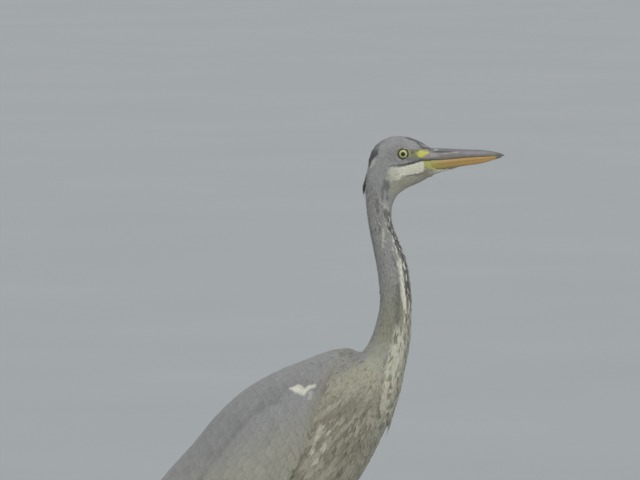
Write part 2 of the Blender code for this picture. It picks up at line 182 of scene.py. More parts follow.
def bird_place(points):
    """Distance along the middle line, the angle round it from the front or underside,
    and the tailward direction there."""
    flat = points[:, [0, 2]]
    nearest = np.empty(len(points), int)
    for start in range(0, len(points), 20000):
        some = flat[start : start + 20000]
        gaps = ((some[:, None] - middle_points[None]) ** 2).sum(-1)
        nearest[start : start + 20000] = gaps.argmin(1)
    way = middle_ways[nearest]
    off = flat - middle_points[nearest]
    along = (off * way).sum(1)
    front = np.c_[-way[:, 1], way[:, 0]]
    angle = np.arctan2(points[:, 1], (off * front).sum(1))
    tailward = np.c_[way[:, 0], np.zeros(len(way)), way[:, 1]]
    return middle_run[nearest] + along, angle, tailward


def rows_of(items, field, each, kind=np.float32):
    """What a mesh keeps for its items, one row of numbers for each."""
    flat = np.empty(len(items) * each, kind)
    items.foreach_get(field, flat)
    return flat.reshape(-1, each)


def mesh_points(mesh):
    """The places of a mesh's corners, in millimetres."""
    return rows_of(mesh.vertices, "co", 3).astype(float) / MM


def reworked(mesh, kind, settings, hidden=()):
    """The mesh as one modifier leaves it. hidden lists the corners it may change."""
    piece = placed("form", mesh)
    if hidden:
        piece.vertex_groups.new(name="hidden").add(hidden, 1, "REPLACE")
    step = piece.modifiers.new("step", kind)
    for name, value in settings.items():
        setattr(step, name, value)
    seen = piece.evaluated_get(bpy.context.evaluated_depsgraph_get())
    made = bpy.data.meshes.new_from_object(seen)
    bpy.data.objects.remove(piece)
    return made


def fuse(names):
    """Solids swollen until they touch, and remade as one even surface."""
    joined = bmesh.new()
    for name in names:
        part = bmesh.new()
        part.from_mesh(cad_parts[name].data)
        bmesh.ops.remove_doubles(part, verts=part.verts, dist=1e-6)
        bmesh.ops.recalc_face_normals(part, faces=part.faces)
        part.normal_update()
        for vert, normal in [(v, v.normal.copy()) for v in part.verts]:
            vert.co += normal * FUSED_SWELL * MM
        mesh = bpy.data.meshes.new("part")
        part.to_mesh(mesh)
        part.free()
        joined.from_mesh(mesh)
        bpy.data.meshes.remove(mesh)
    mesh = bpy.data.meshes.new("form")
    joined.to_mesh(mesh)
    joined.free()
    return reworked(mesh, "REMESH", {"mode": "VOXEL", "voxel_size": FUSED_GRAIN * MM})


def relaxed(points, edges, rounds, held=None):
    """Corner values drawn halfway to the mean of their neighbours, again and again."""
    ends = np.r_[edges[:, 0], edges[:, 1]]
    others = np.r_[edges[:, 1], edges[:, 0]]
    count = np.maximum(np.bincount(ends, minlength=len(points)), 1)
    points = points.reshape(len(points), -1)
    for _ in range(rounds):
        mean = np.empty_like(points)
        for axis in range(points.shape[1]):
            total = np.bincount(ends, points[others, axis], minlength=len(points))
            mean[:, axis] = total / count
        step = 0.5 * (mean - points)
        if held is not None:
            step[held] = 0
        points = points + step
    return points


def mesh_edges(mesh):
    """The pairs of corners that a mesh's edges join."""
    return rows_of(mesh.edges, "vertices", 2, np.int32)


def set_points(mesh, points):
    """Moves a mesh's corners to places given in millimetres."""
    mesh.vertices.foreach_set("co", (points * MM).astype(np.float32).ravel())
    mesh.update()


form = fuse([name for names, _ in FLESH.values() for name in names])
form_points = relaxed(mesh_points(form), mesh_edges(form), 4)
set_points(form, form_points)
form_normals = rows_of(form.vertex_normals, "vector", 3).astype(float)
form_faces = [tuple(face.vertices) for face in form.polygons]
form_tree = BVHTree.FromPolygons(form_points.tolist(), form_faces)

part_trees = {}
for part, (names, _) in FLESH.items():
    corners, sides = [], []
    for name in names:
        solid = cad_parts[name].data
        start = len(corners)
        corners.extend(mesh_points(solid).tolist())
        sides.extend([[start + k for k in face.vertices] for face in solid.polygons])
    part_trees[part] = BVHTree.FromPolygons(corners, sides)

parts = list(FLESH)
gaps = np.array([[part_trees[p].find_nearest(c)[3] for p in parts] for c in form_points])
form_part = gaps.argmin(1)

# Places on the head, in the upright plane: the gape runs from the mouth's corner back
# under the eye, and the bare lores lie above it in front of the eye.
EYE = np.array((147.4, 13.2, 859.2))
EYE_RADIUS = 9
EYE_TURN = math.radians(7)  # the eyes look a little forward
LID_INNER, LID_CREST, LID_OUTER = 6.3, 7.3, 9.6
LID_THICKNESS = 0.35
LID_BULGE = 0.95
GAPE_DEPTH = 0.55
GAPE = [(188, 850.8), (172.6, 850.3), (163, 847.4), (155, 845.1), (143.8, 843), (130, 842.8)]
LORES = [
    (153, 864.5), (166, 866), (184, 865.5), (188, 851.5), (172, 851.6), (163, 853.5), (155, 856.5),
]
LORES_HORN = [  # where the lores are the colour of the bill, above and below the yellow
    [(175, 866.5), (176.5, 863.8), (186, 861), (189, 866.5)],
    [(171, 854.3), (176, 855.4), (186, 860.2), (189, 851), (172, 851)],
]
LORES_SPOT = [
    (164.5, 860), (168, 861.8), (171, 864.4), (176, 863.6), (187, 861), (180.5, 858.2),
    (177, 856.2), (173, 853.8), (168, 855), (167, 858),
]
LORES_DOT = (160.8, 861.2)
JAW_SKIN = [(175.5, 849.6), (189, 850.4), (193.5, 836.8), (188, 837), (181, 838.6), (177, 841)]
CHEEK = [
    (176.5, 849), (172.6, 849), (163, 846), (155, 843.8), (144, 841.6), (135, 841.8), (131, 834),
    (133.6, 825.5), (141, 824.5), (150.2, 828), (164.6, 831.4), (170, 832.6), (174, 835.8),
    (177.4, 840.5),
]
CHEEK_SEAM = [(147, 827.6), (157, 829.6), (168.4, 830.4), (176, 832.6), (182, 835.2), (192, 837.4)]
NAPE_PATCH = [
    (121.5, 877), (117, 873.6), (114.2, 866.6), (113, 860), (111, 856.4), (107, 853.6),
    (103.2, 849), (101.2, 843.4), (95, 841.5), (97, 857), (104, 870), (111, 880), (121, 886),
]
BELOW_LORES = [(155, 852.4), (163, 851.0), (171, 849.6)]
FOREHEAD_LINES = [  # along the top of the forehead, and from it down to the lores
    [(147, 883.6), (155, 880.2), (163, 876.8), (171, 874.4), (177, 871.6), (184, 869.6)],
    [(166, 875), (171.4, 869.8), (174, 867.4), (181, 866), (188, 864)],
]
NECK_SPOT = [
    (122.3, 822.5), (126.8, 820.5), (129.8, 811.5), (127, 807.5), (122.3, 807.5), (120.3, 813),
]
NECK_PALE = [  # short marks: from x and z, to x and z, and how wide
    (118, 795, 126, 783, 3.4), (128.5, 774, 130.5, 769.5, 2.8), (120, 757, 119, 730, 2.4),
    (108.5, 850, 104, 843.5, 5.0), (126, 828.5, 129, 826, 3.0),
]
NECK_DARK = [
    (123.4, 780.5, 124.2, 774.5, 6.5), (111, 796, 112.5, 778, 2.6), (115, 760, 114, 750, 2.6),
    (119.6, 812, 118.6, 795, 3.6), (125.3, 800.5, 125.5, 797.5, 3.0),
]


def eye_axis(side):
    """The way that an eye looks."""
    return np.array((math.sin(EYE_TURN), side * math.cos(EYE_TURN), 0))


def from_eye(points):
    """Distance from the axis of the eye on the same side, and height along it."""
    side = np.where(points[:, 1] < 0, RIGHT, LEFT)
    centre = np.c_[np.full(len(side), EYE[0]), side * EYE[1], np.full(len(side), EYE[2])]
    axis = np.array([eye_axis(RIGHT), eye_axis(LEFT)])[(side > 0).astype(int)]
    off = points - centre
    height = (off * axis).sum(1)
    return np.linalg.norm(off - axis * height[:, None], axis=1), height, axis


def from_line(points, line):
    """Distance in the upright plane from a run of places joined by straights."""
    flat = points[:, [0, 2]]
    best = np.full(len(points), 1e9)
    for a, b in zip(np.array(line, float), np.array(line[1:], float)):
        share = np.clip(((flat - a) @ (b - a)) / ((b - a) @ (b - a)), 0, 1)
        gap = np.linalg.norm(flat - a - share[:, None] * (b - a), axis=1)
        best = np.minimum(best, gap)
    return best


def depth_within(points, outline):
    """How far inside a closed outline in the upright plane a point lies, below 0 outside."""
    flat = points[:, [0, 2]]
    ring = np.array(outline, float)
    inside = np.zeros(len(points), bool)
    for a, b in zip(ring, np.roll(ring, -1, axis=0)):
        spans = (a[1] > flat[:, 1]) != (b[1] > flat[:, 1])
        rise = b[1] - a[1] if b[1] != a[1] else 1e-9
        inside ^= spans & (flat[:, 0] < a[0] + (flat[:, 1] - a[1]) * (b[0] - a[0]) / rise)
    gap = from_line(points, [*outline, outline[0]])
    return np.where(inside, gap, -gap)


def ramp(value, low, high):
    """0 below low, 1 above high, and an easy slope between. It falls if low > high."""
    share = np.clip((value - low) / (high - low), 0, 1)
    return share * share * (3 - 2 * share)


def blotches(points, size, seed):
    """A soft random value from 0 to 1 that changes over about that many millimetres."""
    total = np.zeros(len(points))
    rng = np.random.default_rng(seed)
    for _ in range(7):
        way = unit(rng.normal(size=3)) * rng.uniform(0.7, 1.6) * math.tau / (2.2 * size)
        total += np.sin(points @ way + rng.uniform(0, math.tau))
    return 0.5 + 0.5 * np.tanh(total * 0.55)


def streaks(run, around, length, width, seed):
    """A random value from 0 to 1 in wandering streaks of about that length and width."""
    total = np.zeros(len(run))
    rng = np.random.default_rng(seed)
    for _ in range(5):
        pace = rng.uniform(0.7, 1.5, 3)
        turn = rng.uniform(0, math.tau, 3)
        sway = 1.5 * np.sin(math.pi * run / (length * pace[0]) + turn[0])
        fade = 0.65 + 0.35 * np.sin(math.pi * run / (length * pace[1]) + turn[1])
        total += fade * np.sin(math.pi * around / (width * pace[2]) + sway + turn[2])
    return 0.5 + 0.5 * np.tanh(total * 0.6)


# The young bird's markings on breast and shoulder: short marks, outlines and lines.
BREAST_DARK = [
    (121, 536, 115, 490, 5), (124.5, 508, 120, 484, 4), (126.8, 578, 126.4, 569, 4.5),
    (125.5, 560, 123.6, 548, 4), (79, 464, 72, 446, 6), (64, 463, 58.5, 448, 6),
    (94.5, 456, 93.5, 440, 5), (67.5, 446, 66, 414, 7),
]
BREAST_PALE = [(90.5, 493, 89.5, 477, 3.6), (107, 508, 106, 492, 3.6), (69.5, 470, 64, 459, 3.2)]
SHOULDER_SPOT = [
    (-5.4, 537), (1.3, 540), (10.3, 543), (18, 538), (27, 543), (33.5, 544.7), (31.7, 540),
    (22.6, 535.5), (18, 530.2), (13.3, 529.5), (4.3, 534),
]
SHOULDER_FLECK = (27, 533, 26, 525, 4.2)
BEND_PATCH = [[(47, 490), (38.5, 477), (30.5, 466), (33, 456), (40, 448)],
              [(54.5, 481), (51.5, 473), (45, 466), (46, 457), (42, 449), (33, 437)]]
BEND_CORE = [(45, 471), (38, 461), (39, 456)]
HUMP = [(52, 596), (84, 590)]
FLANK_PATCH = [(48, 431), (20, 420), (-6, 411)]
SCAPULAR_EDGE = [(0, 534), (-34, 511), (-56, 494), (-90, 456), (-150, 372)]


def strokes(points, marks, soft=1.0):
    """1 on short straight marks, each two ends in the upright plane and a width."""
    found = np.zeros(len(points))
    for x, z, to_x, to_z, width in marks:
        gap = from_line(points, [(x, z), (to_x, to_z)])
        found = np.maximum(found, ramp(gap, width / 2 + soft, width / 2 - soft * 0.5))
    return found


def bend_marks(points):
    """The white patch where breast meets wing, broken and with a dark core, and the
    paler flank below it."""
    uneven = blotches(points, 9, 41) * 5 - 2.5
    gap = np.minimum(*[from_line(points, line) for line in BEND_PATCH])
    patch = ramp(gap + uneven, 5.5, 2.0) * ramp(blotches(points, 10, 44), 0.1, 0.35)
    flank = ramp(from_line(points, FLANK_PATCH) + uneven, 11, 4)
    patch = np.maximum(patch, 0.55 * flank * ramp(blotches(points, 12, 45), 0.3, 0.6))
    core = ramp(from_line(points, BEND_CORE) + 0.4 * uneven, 5, 2)
    return patch, core


def lay(shares, other):
    """Lays other shares over some, so that the greater one of the two holds."""
    np.maximum(shares, other, out=shares)


def markings(points):
    """Dark, pale and warm shares of the plumage at some places."""
    run, angle, _ = bird_place(points)
    x, y, z = points.T
    round_front = np.degrees(np.abs(angle))
    around = np.abs(angle) * 18
    dark, pale, warm = np.zeros(len(run)), np.zeros(len(run)), np.zeros(len(run))

    # Nape and forehead are edged with slate; a white band runs back from the bill.
    head = ramp(run, 116, 96)
    side = ramp(np.abs(y), 2, 6)
    uneven = blotches(points, 5, 2) * 2.4 - 1.2
    nape = ramp(depth_within(points, NAPE_PATCH) + 0.5 * uneven, -1.8, 1.2)
    lay(dark, head * nape * (0.40 + 0.55 * ramp(z, 869, 859)))
    for line in FOREHEAD_LINES:
        lay(dark, 0.75 * ramp(from_line(points, line) + 0.3 * uneven, 1.7, 0.6))
    crown = ramp(z - 868 - 0.1 * (x - 140), 0, 12) * ramp(x, 182, 165)
    ear = ramp(np.hypot(x - 133, z - 861), 12, 4)
    lay(dark, 0.10 * np.maximum(crown, ear) * head)
    gape = ramp(from_line(points, GAPE), 2.1, 0.9) * ramp(x, 128, 134) * side
    cheek = ramp(depth_within(points, CHEEK) + 0.8 * uneven, -1.6 - 5 * ramp(x, 141, 131), 0.8)
    cheek *= 0.62 + 0.38 * ramp(x, 134, 150)
    lay(pale, cheek * head)
    lay(dark, gape * (0.55 + 0.4 * ramp(x, 136, 160)))
    pale *= 1 - 0.9 * gape
    seam = ramp(from_line(points, CHEEK_SEAM), 2.3, 0.6) * side
    lay(dark, (0.48 - 0.20 * ramp(x, 168, 182)) * seam)
    lay(dark, 0.50 * ramp(from_line(points, BELOW_LORES), 3.8, 1.2) * side)
    throat = ramp(z, 839, 828) * ramp(x, 120, 140) * head
    jaw = ramp(x, 168, 178) * ramp(z, 846, 841)
    lay(warm, np.maximum(0.75 * throat, 0.9 * np.maximum(jaw, seam) * side))
    lay(pale, 0.22 * jaw * side)
    chin = ramp(x, 176, 200) * ramp(z, 842, 838)
    lay(pale, np.maximum(0.26 * throat, 0.60 * chin))

    # The neck is grey. Its front is white between two broken rows of black, which meet
    # the grey below the throat and leave a long white band lower down.
    neck = ramp(run, 96, 112) * ramp(run, 330, 296)
    edge = blotches(points, 11, 3) * 7.2 - 3.6
    lower_end = ramp(run, 232, 262)
    band_front, band_back = 38 + lower_end, 60 - 9 * lower_end
    band = ramp(round_front + edge, band_front - 3, band_front + 3)
    band *= ramp(round_front + edge, band_back + 3.5, band_back - 3.5)
    band *= ramp(run, 190, 206) * ramp(run, 272, 254)
    band *= 0.70 + 0.22 * np.exp(-(((run - 232) / 30) ** 2))
    middle = 0.30 * ramp(round_front, 9, 4)
    flecks = ramp(streaks(run, around, 7, 3.0, 15), 0.62, 0.80) * ramp(round_front, 50, 40)
    upper_front = np.maximum(middle, 0.75 * flecks) * ramp(run, 124, 140)
    lay(pale, neck * np.maximum(band, upper_front))
    reach = 50 - 10 * ramp(run, 178, 202)
    front = ramp(round_front + edge, reach, reach - 9) * ramp(round_front, 3, 8)
    black = ramp(run, 122, 134) * ramp(run, 290, 264) * front * (1 - 0.3 * ramp(run, 225, 255))
    black *= 0.45 + 0.55 * ramp(streaks(run, around, 11, 3.6, 5), 0.3, 0.55)
    broad = 5 + 9 * ramp(run, 205, 250)
    rim = np.exp(-(((round_front - 58 - broad - edge) / broad) ** 2)) * ramp(run, 178, 200)
    black = np.maximum(black * (1 - 0.85 * flecks), 0.50 * rim * ramp(run, 300, 270))
    beads = ramp(streaks(run, around, 6, 3.5, 8), 0.5, 0.7)
    beads *= ramp(np.sin(math.tau * (run + 0.7 * around) / 12.5), 0.0, 0.6)
    beads *= ramp(round_front, 60, 52) * ramp(round_front, 28, 38)
    lay(pale, 0.75 * neck * beads * ramp(run, 136, 146) * ramp(run, 198, 186))
    black = black * (1 - 0.8 * beads * ramp(run, 198, 186))
    spot = ramp(depth_within(points, NECK_SPOT) + uneven, -1.5, 1.0)
    lay(dark, 0.60 * spot)
    lay(dark, 0.50 * strokes(points, NECK_DARK))
    lay(pale, 0.32 * strokes(points, NECK_PALE, 1.8) * (1 - spot))
    pale *= 1 - 0.9 * black * neck
    lay(dark, neck * black)
    nearly = ramp(run, 195, 285) * neck
    lay(warm, 0.85 * nearly * ramp(round_front, 178, 118))

    # Below, the front is cream with olive spots in a row, and the breast is olive brown
    # with long narrow streaks, dark and pale, that fade toward the shoulder.
    low = ramp(run, 266, 292) * (0.4 * ramp(run, 480, 420) + 0.6 * ramp(run, 418, 380))
    rim_at = 84 - 34 * ramp(run, 320, 400) - 18 * ramp(run, 400, 450)
    cream = low * ramp(round_front + edge, rim_at, rim_at - 14)
    spotted = ramp(streaks(run, around * 1.6, 11, 6.5, 19), 0.62, 0.78)
    olive_front = ramp(round_front, 42, 24) * ramp(run, 255, 280) * ramp(run, 385, 350)
    pale = np.maximum(pale, cream * 0.50 * (1 - 0.85 * spotted)) * (1 - 0.5 * olive_front)
    lay(warm, cream * 0.9)
    lay(dark, cream * spotted * 0.32)
    reaching = 30 * ramp(run, 352, 322)
    breast = ramp(run, 285, 350) * ramp(run, 640, 560)
    breast *= ramp(round_front - reaching, 128, 106)
    lower = ramp(z, 560, 490) * breast
    lay(warm, breast * 0.85)
    long = streaks(run, around * 2.6, 80, 7.0, 21)
    short = streaks(run, around * 2.6, 46, 4.6, 27)
    pale_streak = np.maximum(ramp(long, 0.66, 0.9), 0.8 * ramp(short, 0.72, 0.9))
    # The breast turns paler toward its top.
    paler_above = 0.18 * ramp(z, 500, 560)
    lay(pale, breast * (pale_streak * (0.02 + 0.22 * lower) + paler_above) * (1 - cream))
    other = streaks(run, around * 2.6, 66, 6.2, 33)
    dark_streak = ramp(other, 0.50, 0.75) * (1 - pale_streak)
    lay(dark, breast * (dark_streak * (0.02 + 0.25 * lower) + 0.05 * lower))
    lay(dark, 0.36 * strokes(points, BREAST_DARK, 1.4))
    pale = np.maximum(pale * (1 - dark), 0.30 * strokes(points, BREAST_PALE, 1.4))
    back = ramp(run, 300, 340) * ramp(round_front, 106, 124)
    hump = ramp(from_line(points, HUMP), 26, 6) * ramp(round_front, 100, 120)
    lay(dark, (0.13 + 0.05 * hump) * back)
    near_wing = ramp(np.abs(y), 34, 48)
    patch, core = bend_marks(points)
    pale = np.maximum(pale, 0.55 * patch * near_wing) * (1 - 0.75 * core * near_wing)
    lay(dark, 0.45 * core * near_wing)

    # Belly and vent are whitish with soft grey streaks.
    below = ramp(run, 520, 600) * ramp(round_front, 80, 45)
    lay(pale, below * (0.75 - 0.35 * ramp(other, 0.5, 0.8)))
    return np.c_[dark, pale, warm]


def wing_markings(points):
    """Dark, pale and warm shares on the folded wings."""
    x, _, z = points.T
    dark, pale, warm = np.zeros(len(x)), np.zeros(len(x)), np.zeros(len(x))
    uneven = blotches(points, 6, 41) * 2 - 1
    spot = ramp(depth_within(points, SHOULDER_SPOT) + uneven, -1.6, 0.6)
    lay(pale, np.maximum(0.74 * spot, 0.3 * strokes(points, [SHOULDER_FLECK])))
    patch, core = bend_marks(points)
    pale = np.maximum(pale, 0.55 * patch) * (1 - 0.75 * core)
    lay(dark, 0.45 * core)
    # The scapulars are a little darker than the coverts under them, most at their edge.
    edge = np.interp(x, *np.array(sorted(SCAPULAR_EDGE)).T)
    over = z - edge + 3 * uneven
    lay(dark, (0.13 + 0.15 * ramp(over, 22, 4)) * ramp(over, -3, 3) * (1 - spot))
    lay(dark, 0.17 * ramp(from_line(points, HUMP), 26, 6))
    low = ramp(z - 0.5 * x, 520, 440)
    lay(warm, 0.6 * low)
    lay(pale, 0.16 * low)
    # Toward the breast the grey turns olive without an edge.
    toward = ramp(x - 0.42 * (z - 470) + 2 * uneven, -4, 30)
    lay(warm, 0.88 * toward * ramp(z, 592, 560))
    return np.c_[dark, pale, warm]


def value_node(tree, operation, a, b=None, c=None, clamp=False):
    """A Math node on sockets or numbers, and its outlet."""
    node = tree.nodes.new("ShaderNodeMath")
    node.operation = operation
    node.use_clamp = clamp
    for socket, value in zip(node.inputs, (a, b, c)):
        if isinstance(value, bpy.types.NodeSocket):
            tree.links.new(value, socket)
        elif value is not None:
            socket.default_value = value
    return node.outputs[0]


def product(tree, a, b):
    """One socket or number times another."""
    return value_node(tree, "MULTIPLY", a, b)


def colour_node(tree, share, a, b):
    """A colour Mix node on sockets or colours, and its outlet."""
    node = tree.nodes.new("ShaderNodeMix")
    node.data_type = "RGBA"
    for name, value in (("Factor", share), ("A", a), ("B", b)):
        socket = next(s for s in node.inputs if s.name == name and s.enabled)
        if isinstance(value, bpy.types.NodeSocket):
            tree.links.new(value, socket)
        elif name == "Factor":
            socket.default_value = value
        else:
            socket.default_value = (*value, 1)
    return next(s for s in node.outputs if s.enabled)


def noise_node(tree, scale, detail, stretch=None, place=None):
    """Noise over the piece's own coordinates or a stored vector, and its outlet."""
    place = place or tree.nodes.new("ShaderNodeTexCoord").outputs["Object"]
    if stretch:
        mapping = tree.nodes.new("ShaderNodeMapping")
        mapping.inputs["Scale"].default_value = stretch
        tree.links.new(place, mapping.inputs["Vector"])
        place = mapping.outputs["Vector"]
    noise = tree.nodes.new("ShaderNodeTexNoise")
    noise.inputs["Scale"].default_value = scale
    noise.inputs["Detail"].default_value = detail
    tree.links.new(place, noise.inputs["Vector"])
    return noise.outputs["Fac"]


def attribute_node(tree, name):
    """The node that reads what a mesh stores under a name."""
    node = tree.nodes.new("ShaderNodeAttribute")
    node.attribute_name = name
    return node


def stored_numbers(tree, name):
    """The three numbers that a mesh stores under a name."""
    split = tree.nodes.new("ShaderNodeSeparateXYZ")
    tree.links.new(attribute_node(tree, name).outputs["Vector"], split.inputs["Vector"])
    return split.outputs["X"], split.outputs["Y"], split.outputs["Z"]


def stored_shares(tree, name):
    """The four shares that a mesh stores as a colour under a name."""
    stored = attribute_node(tree, name)
    split = tree.nodes.new("ShaderNodeSeparateColor")
    tree.links.new(stored.outputs["Color"], split.inputs["Color"])
    return (*split.outputs[:3], stored.outputs["Alpha"])


def new_paint(name, settings):
    """A material whose shader has some sockets set, its node tree and its shader."""
    made = bpy.data.materials.new(name)
    made.use_nodes = True
    shader = made.node_tree.nodes["Principled BSDF"]
    for label, value in settings.items():
        shader.inputs[label].default_value = value
    return made, made.node_tree, shader


def lay_pattern(tree, shader, pattern, values, relief, depth):
    """Puts a shader group into a material: its colour, and its height as fine relief."""
    group = tree.nodes.new("ShaderNodeGroup")
    group.node_tree = pattern
    for label, value in values.items():
        group.inputs[label].default_value = (*value, 1) if isinstance(value, tuple) else value
    bump = tree.nodes.new("ShaderNodeBump")
    bump.inputs["Strength"].default_value = relief
    bump.inputs["Distance"].default_value = depth
    tree.links.new(group.outputs["Height"], bump.inputs["Height"])
    tree.links.new(bump.outputs["Normal"], shader.inputs["Normal"])
    tree.links.new(group.outputs["Color"], shader.inputs["Base Color"])
    return group.outputs["Color"]


def new_pattern(name, colours, numbers):
    """An empty shader group for a colour and a height, with its inlets and outlets."""
    tree = bpy.data.node_groups.new(name, "ShaderNodeTree")
    sockets = [("Color", "Color", "OUTPUT"), ("Height", "Float", "OUTPUT")]
    sockets += [(label, "Color", "INPUT") for label in colours]
    sockets += [(label, "Float", "INPUT") for label in numbers]
    for label, kind, way in sockets:
        tree.interface.new_socket(label, in_out=way, socket_type="NodeSocket" + kind)
    given, out = tree.nodes.new("NodeGroupInput"), tree.nodes.new("NodeGroupOutput")
    return tree, [given.outputs[label] for label in (*colours, *numbers)], out.inputs


BARB_PITCH = 1.1


def make_plumage_group():
    """Feather colour from the markings, with shaft, fringe and barbs on each vane."""
    colours, numbers = ("Ground", "Dark", "Pale", "Warm"), ("Shaft", "Fringe", "Mottle")
    tree, given, out = new_pattern("plumage", colours, numbers)
    ground, dark, pale, warm, shaft_share, fringe_share, mottle_share = given
    darkened, paled, warmed, lightness = stored_shares(tree, "marks")
    colour = colour_node(tree, warmed, ground, warm)
    colour = colour_node(tree, darkened, colour, dark)
    colour = colour_node(tree, paled, colour, pale)

    across, along, barb = stored_numbers(tree, "vane")
    across = value_node(tree, "ABSOLUTE", across)
    shaft = value_node(tree, "MULTIPLY_ADD", across, -14, 1, clamp=True)
    shaft = product(tree, shaft, shaft_share)
    colour = colour_node(tree, shaft, colour, dark)
    rim = value_node(tree, "MAXIMUM", across, product(tree, along, 0.98))
    rim = value_node(tree, "POWER", value_node(tree, "MINIMUM", rim, 1.0), 9.0)
    rim = product(tree, rim, fringe_share)
    colour = colour_node(tree, rim, colour, pale)

    barbs = value_node(tree, "SINE", product(tree, barb, math.tau / BARB_PITCH))
    fine = noise_node(tree, 900, 2)
    broad = noise_node(tree, 70, 3)
    light = value_node(tree, "MULTIPLY_ADD", lightness, 0.5, 0.75)
    mottle = value_node(tree, "SUBTRACT", value_node(tree, "ADD", fine, broad), 1.0)
    light = value_node(tree, "MULTIPLY_ADD", mottle, mottle_share, light)
    light = value_node(tree, "MULTIPLY_ADD", barbs, 0.02, light)
    bright = tree.nodes.new("ShaderNodeVectorMath")
    bright.operation = "SCALE"
    tree.links.new(colour, bright.inputs[0])
    tree.links.new(light, bright.inputs["Scale"])
    tree.links.new(bright.outputs["Vector"], out["Color"])
    tree.links.new(value_node(tree, "MULTIPLY_ADD", barbs, 0.5, fine), out["Height"])
    return tree


plumage = make_plumage_group()
BLACK_GREY = (0.068, 0.070, 0.070)
CREAM = (0.70, 0.69, 0.56)
OLIVE_BROWN = (0.245, 0.223, 0.158)


def feather_material(
    name, ground, shaft, fringe, mottle=0.25, dark=BLACK_GREY, warm=OLIVE_BROWN
):
    """Feathers of one part of the bird: their colours, and how strong the details are."""
    soft = {
        "Roughness": 0.78, "Specular IOR Level": 0.25,
        "Sheen Weight": 0.12, "Sheen Roughness": 0.5,
    }
    made, tree, shader = new_paint(name, soft)
    values = {
        "Ground": ground, "Dark": dark, "Pale": CREAM, "Warm": warm,
        "Shaft": shaft, "Fringe": fringe, "Mottle": mottle,
    }
    lay_pattern(tree, shader, plumage, values, 0.35, 0.0004)
    return made


def finer_near_eyes(mesh, reach, cuts):
    """Splits the faces near both eyes into smaller ones."""
    points = mesh_points(mesh)
    wide, height, _ = from_eye(points)
    near = (wide < reach) & (height > 0)
    built = bmesh.new()
    built.from_mesh(mesh)
    built.verts.ensure_lookup_table()
    edges = [e for e in built.edges if near[e.verts[0].index] and near[e.verts[1].index]]
    bmesh.ops.subdivide_edges(built, edges=edges, cuts=cuts, use_grid_fill=True)
    built.to_mesh(mesh)
    built.free()


def fold_face(points):
    """Shapes the lids and the gape on the skin's face."""
    wide, height, axis = from_eye(points)
    ball = np.sqrt(np.maximum(EYE_RADIUS**2 - wide**2, 0))
    outside = (height > 2) & (wide < LID_OUTER + 3)
    hidden = ball - 2.2
    lip = ball + LID_THICKNESS
    crest = math.sqrt(EYE_RADIUS**2 - LID_CREST**2) + LID_BULGE
    wanted = np.where(wide < LID_INNER, hidden, lip + (crest - lip) * ramp(wide, LID_INNER, LID_CREST))
    fade = ramp(wide, LID_OUTER, LID_CREST)
    moved = height + (wanted - height) * fade
    points = points + axis * np.where(outside, moved - height, 0)[:, None]
    x, y, _ = points.T
    gape = ramp(from_line(points, GAPE[1:]), 1.3, 0.2) * ramp(x, 126, 134)
    points[:, 1] -= np.sign(y) * GAPE_DEPTH * gape * (np.abs(y) > 4)
    return points


COARSE_BELOW = 590  # the height under which feathers hide the skin
COARSE_SHARE = 0.76


def make_skin():
    """The fused shape drawn in by the plumage's depth, finer on the face."""
    mesh = form.copy()
    edges = mesh_edges(mesh)
    depth = np.array([deep for _, deep in FLESH.values()])[form_part]
    depth = depth * (1 - 0.45 * ramp(form_points[:, 0], -120, -220))
    bare = ramp(depth_within(form_points, LORES), -3, 1) * (np.abs(form_points[:, 1]) > 5)
    lay(bare, ramp(from_eye(form_points)[0], 14, 9))
    lay(bare, ramp(depth_within(form_points, JAW_SKIN), -3, 1))
    bare[form_part != parts.index("head")] = 0
    depth = relaxed(depth, edges, 14)[:, 0] * (1 - 0.75 * bare)
    points = form_points - form_normals * (depth + FUSED_SWELL)[:, None]
    set_points(mesh, relaxed(points, edges, 2))
    for reach, cuts, rounds in ((27, 2, 6), (12, 1, 3)):
        finer_near_eyes(mesh, reach, cuts)
        points = mesh_points(mesh)
        wide, height, _ = from_eye(points)
        held = (wide > reach) | (height < 0)
        points = relaxed(points, mesh_edges(mesh), rounds, held)
        set_points(mesh, points)
    set_points(mesh, fold_face(points))
    low = np.flatnonzero(mesh_points(mesh)[:, 2] < COARSE_BELOW).tolist()
    fewer = {"ratio": COARSE_SHARE, "vertex_group": "hidden"}
    mesh = reworked(mesh, "DECIMATE", fewer, low)
    mesh.name = "skin"
    return mesh, mesh_points(mesh)


def store(mesh, name, kind, values):
    """Stores a colour or a vector for each corner of a mesh under a name."""
    layer = mesh.attributes.new(name, "FLOAT_" + kind.upper(), "POINT")
    layer.data.foreach_set(kind, np.ascontiguousarray(values, np.float32).ravel())


def skin_material():
    """Down-grey skin with the plumage's markings, bare and yellow-green at the lores."""
    ground = (0.270, 0.265, 0.250)
    made = feather_material("skin_and_down", ground, 0.0, 0.0, mottle=0.3)
    tree = made.node_tree
    shader = tree.nodes["Principled BSDF"]
    plumed = shader.inputs["Base Color"].links[0].from_socket
    is_bare, is_yellow, is_black, is_horn = stored_shares(tree, "face")
    grain = noise_node(tree, 1400, 3)
    olive = colour_node(tree, grain, (0.16, 0.16, 0.10), (0.26, 0.25, 0.14))
    yellow = colour_node(tree, grain, (0.50, 0.48, 0.08), (0.68, 0.64, 0.15))
    bare = colour_node(tree, is_horn, olive, (0.255, 0.228, 0.232))
    bare = colour_node(tree, is_yellow, bare, yellow)
    bare = colour_node(tree, is_black, bare, (0.022, 0.022, 0.018))
    tree.links.new(colour_node(tree, is_bare, plumed, bare), shader.inputs["Base Color"])
    return made


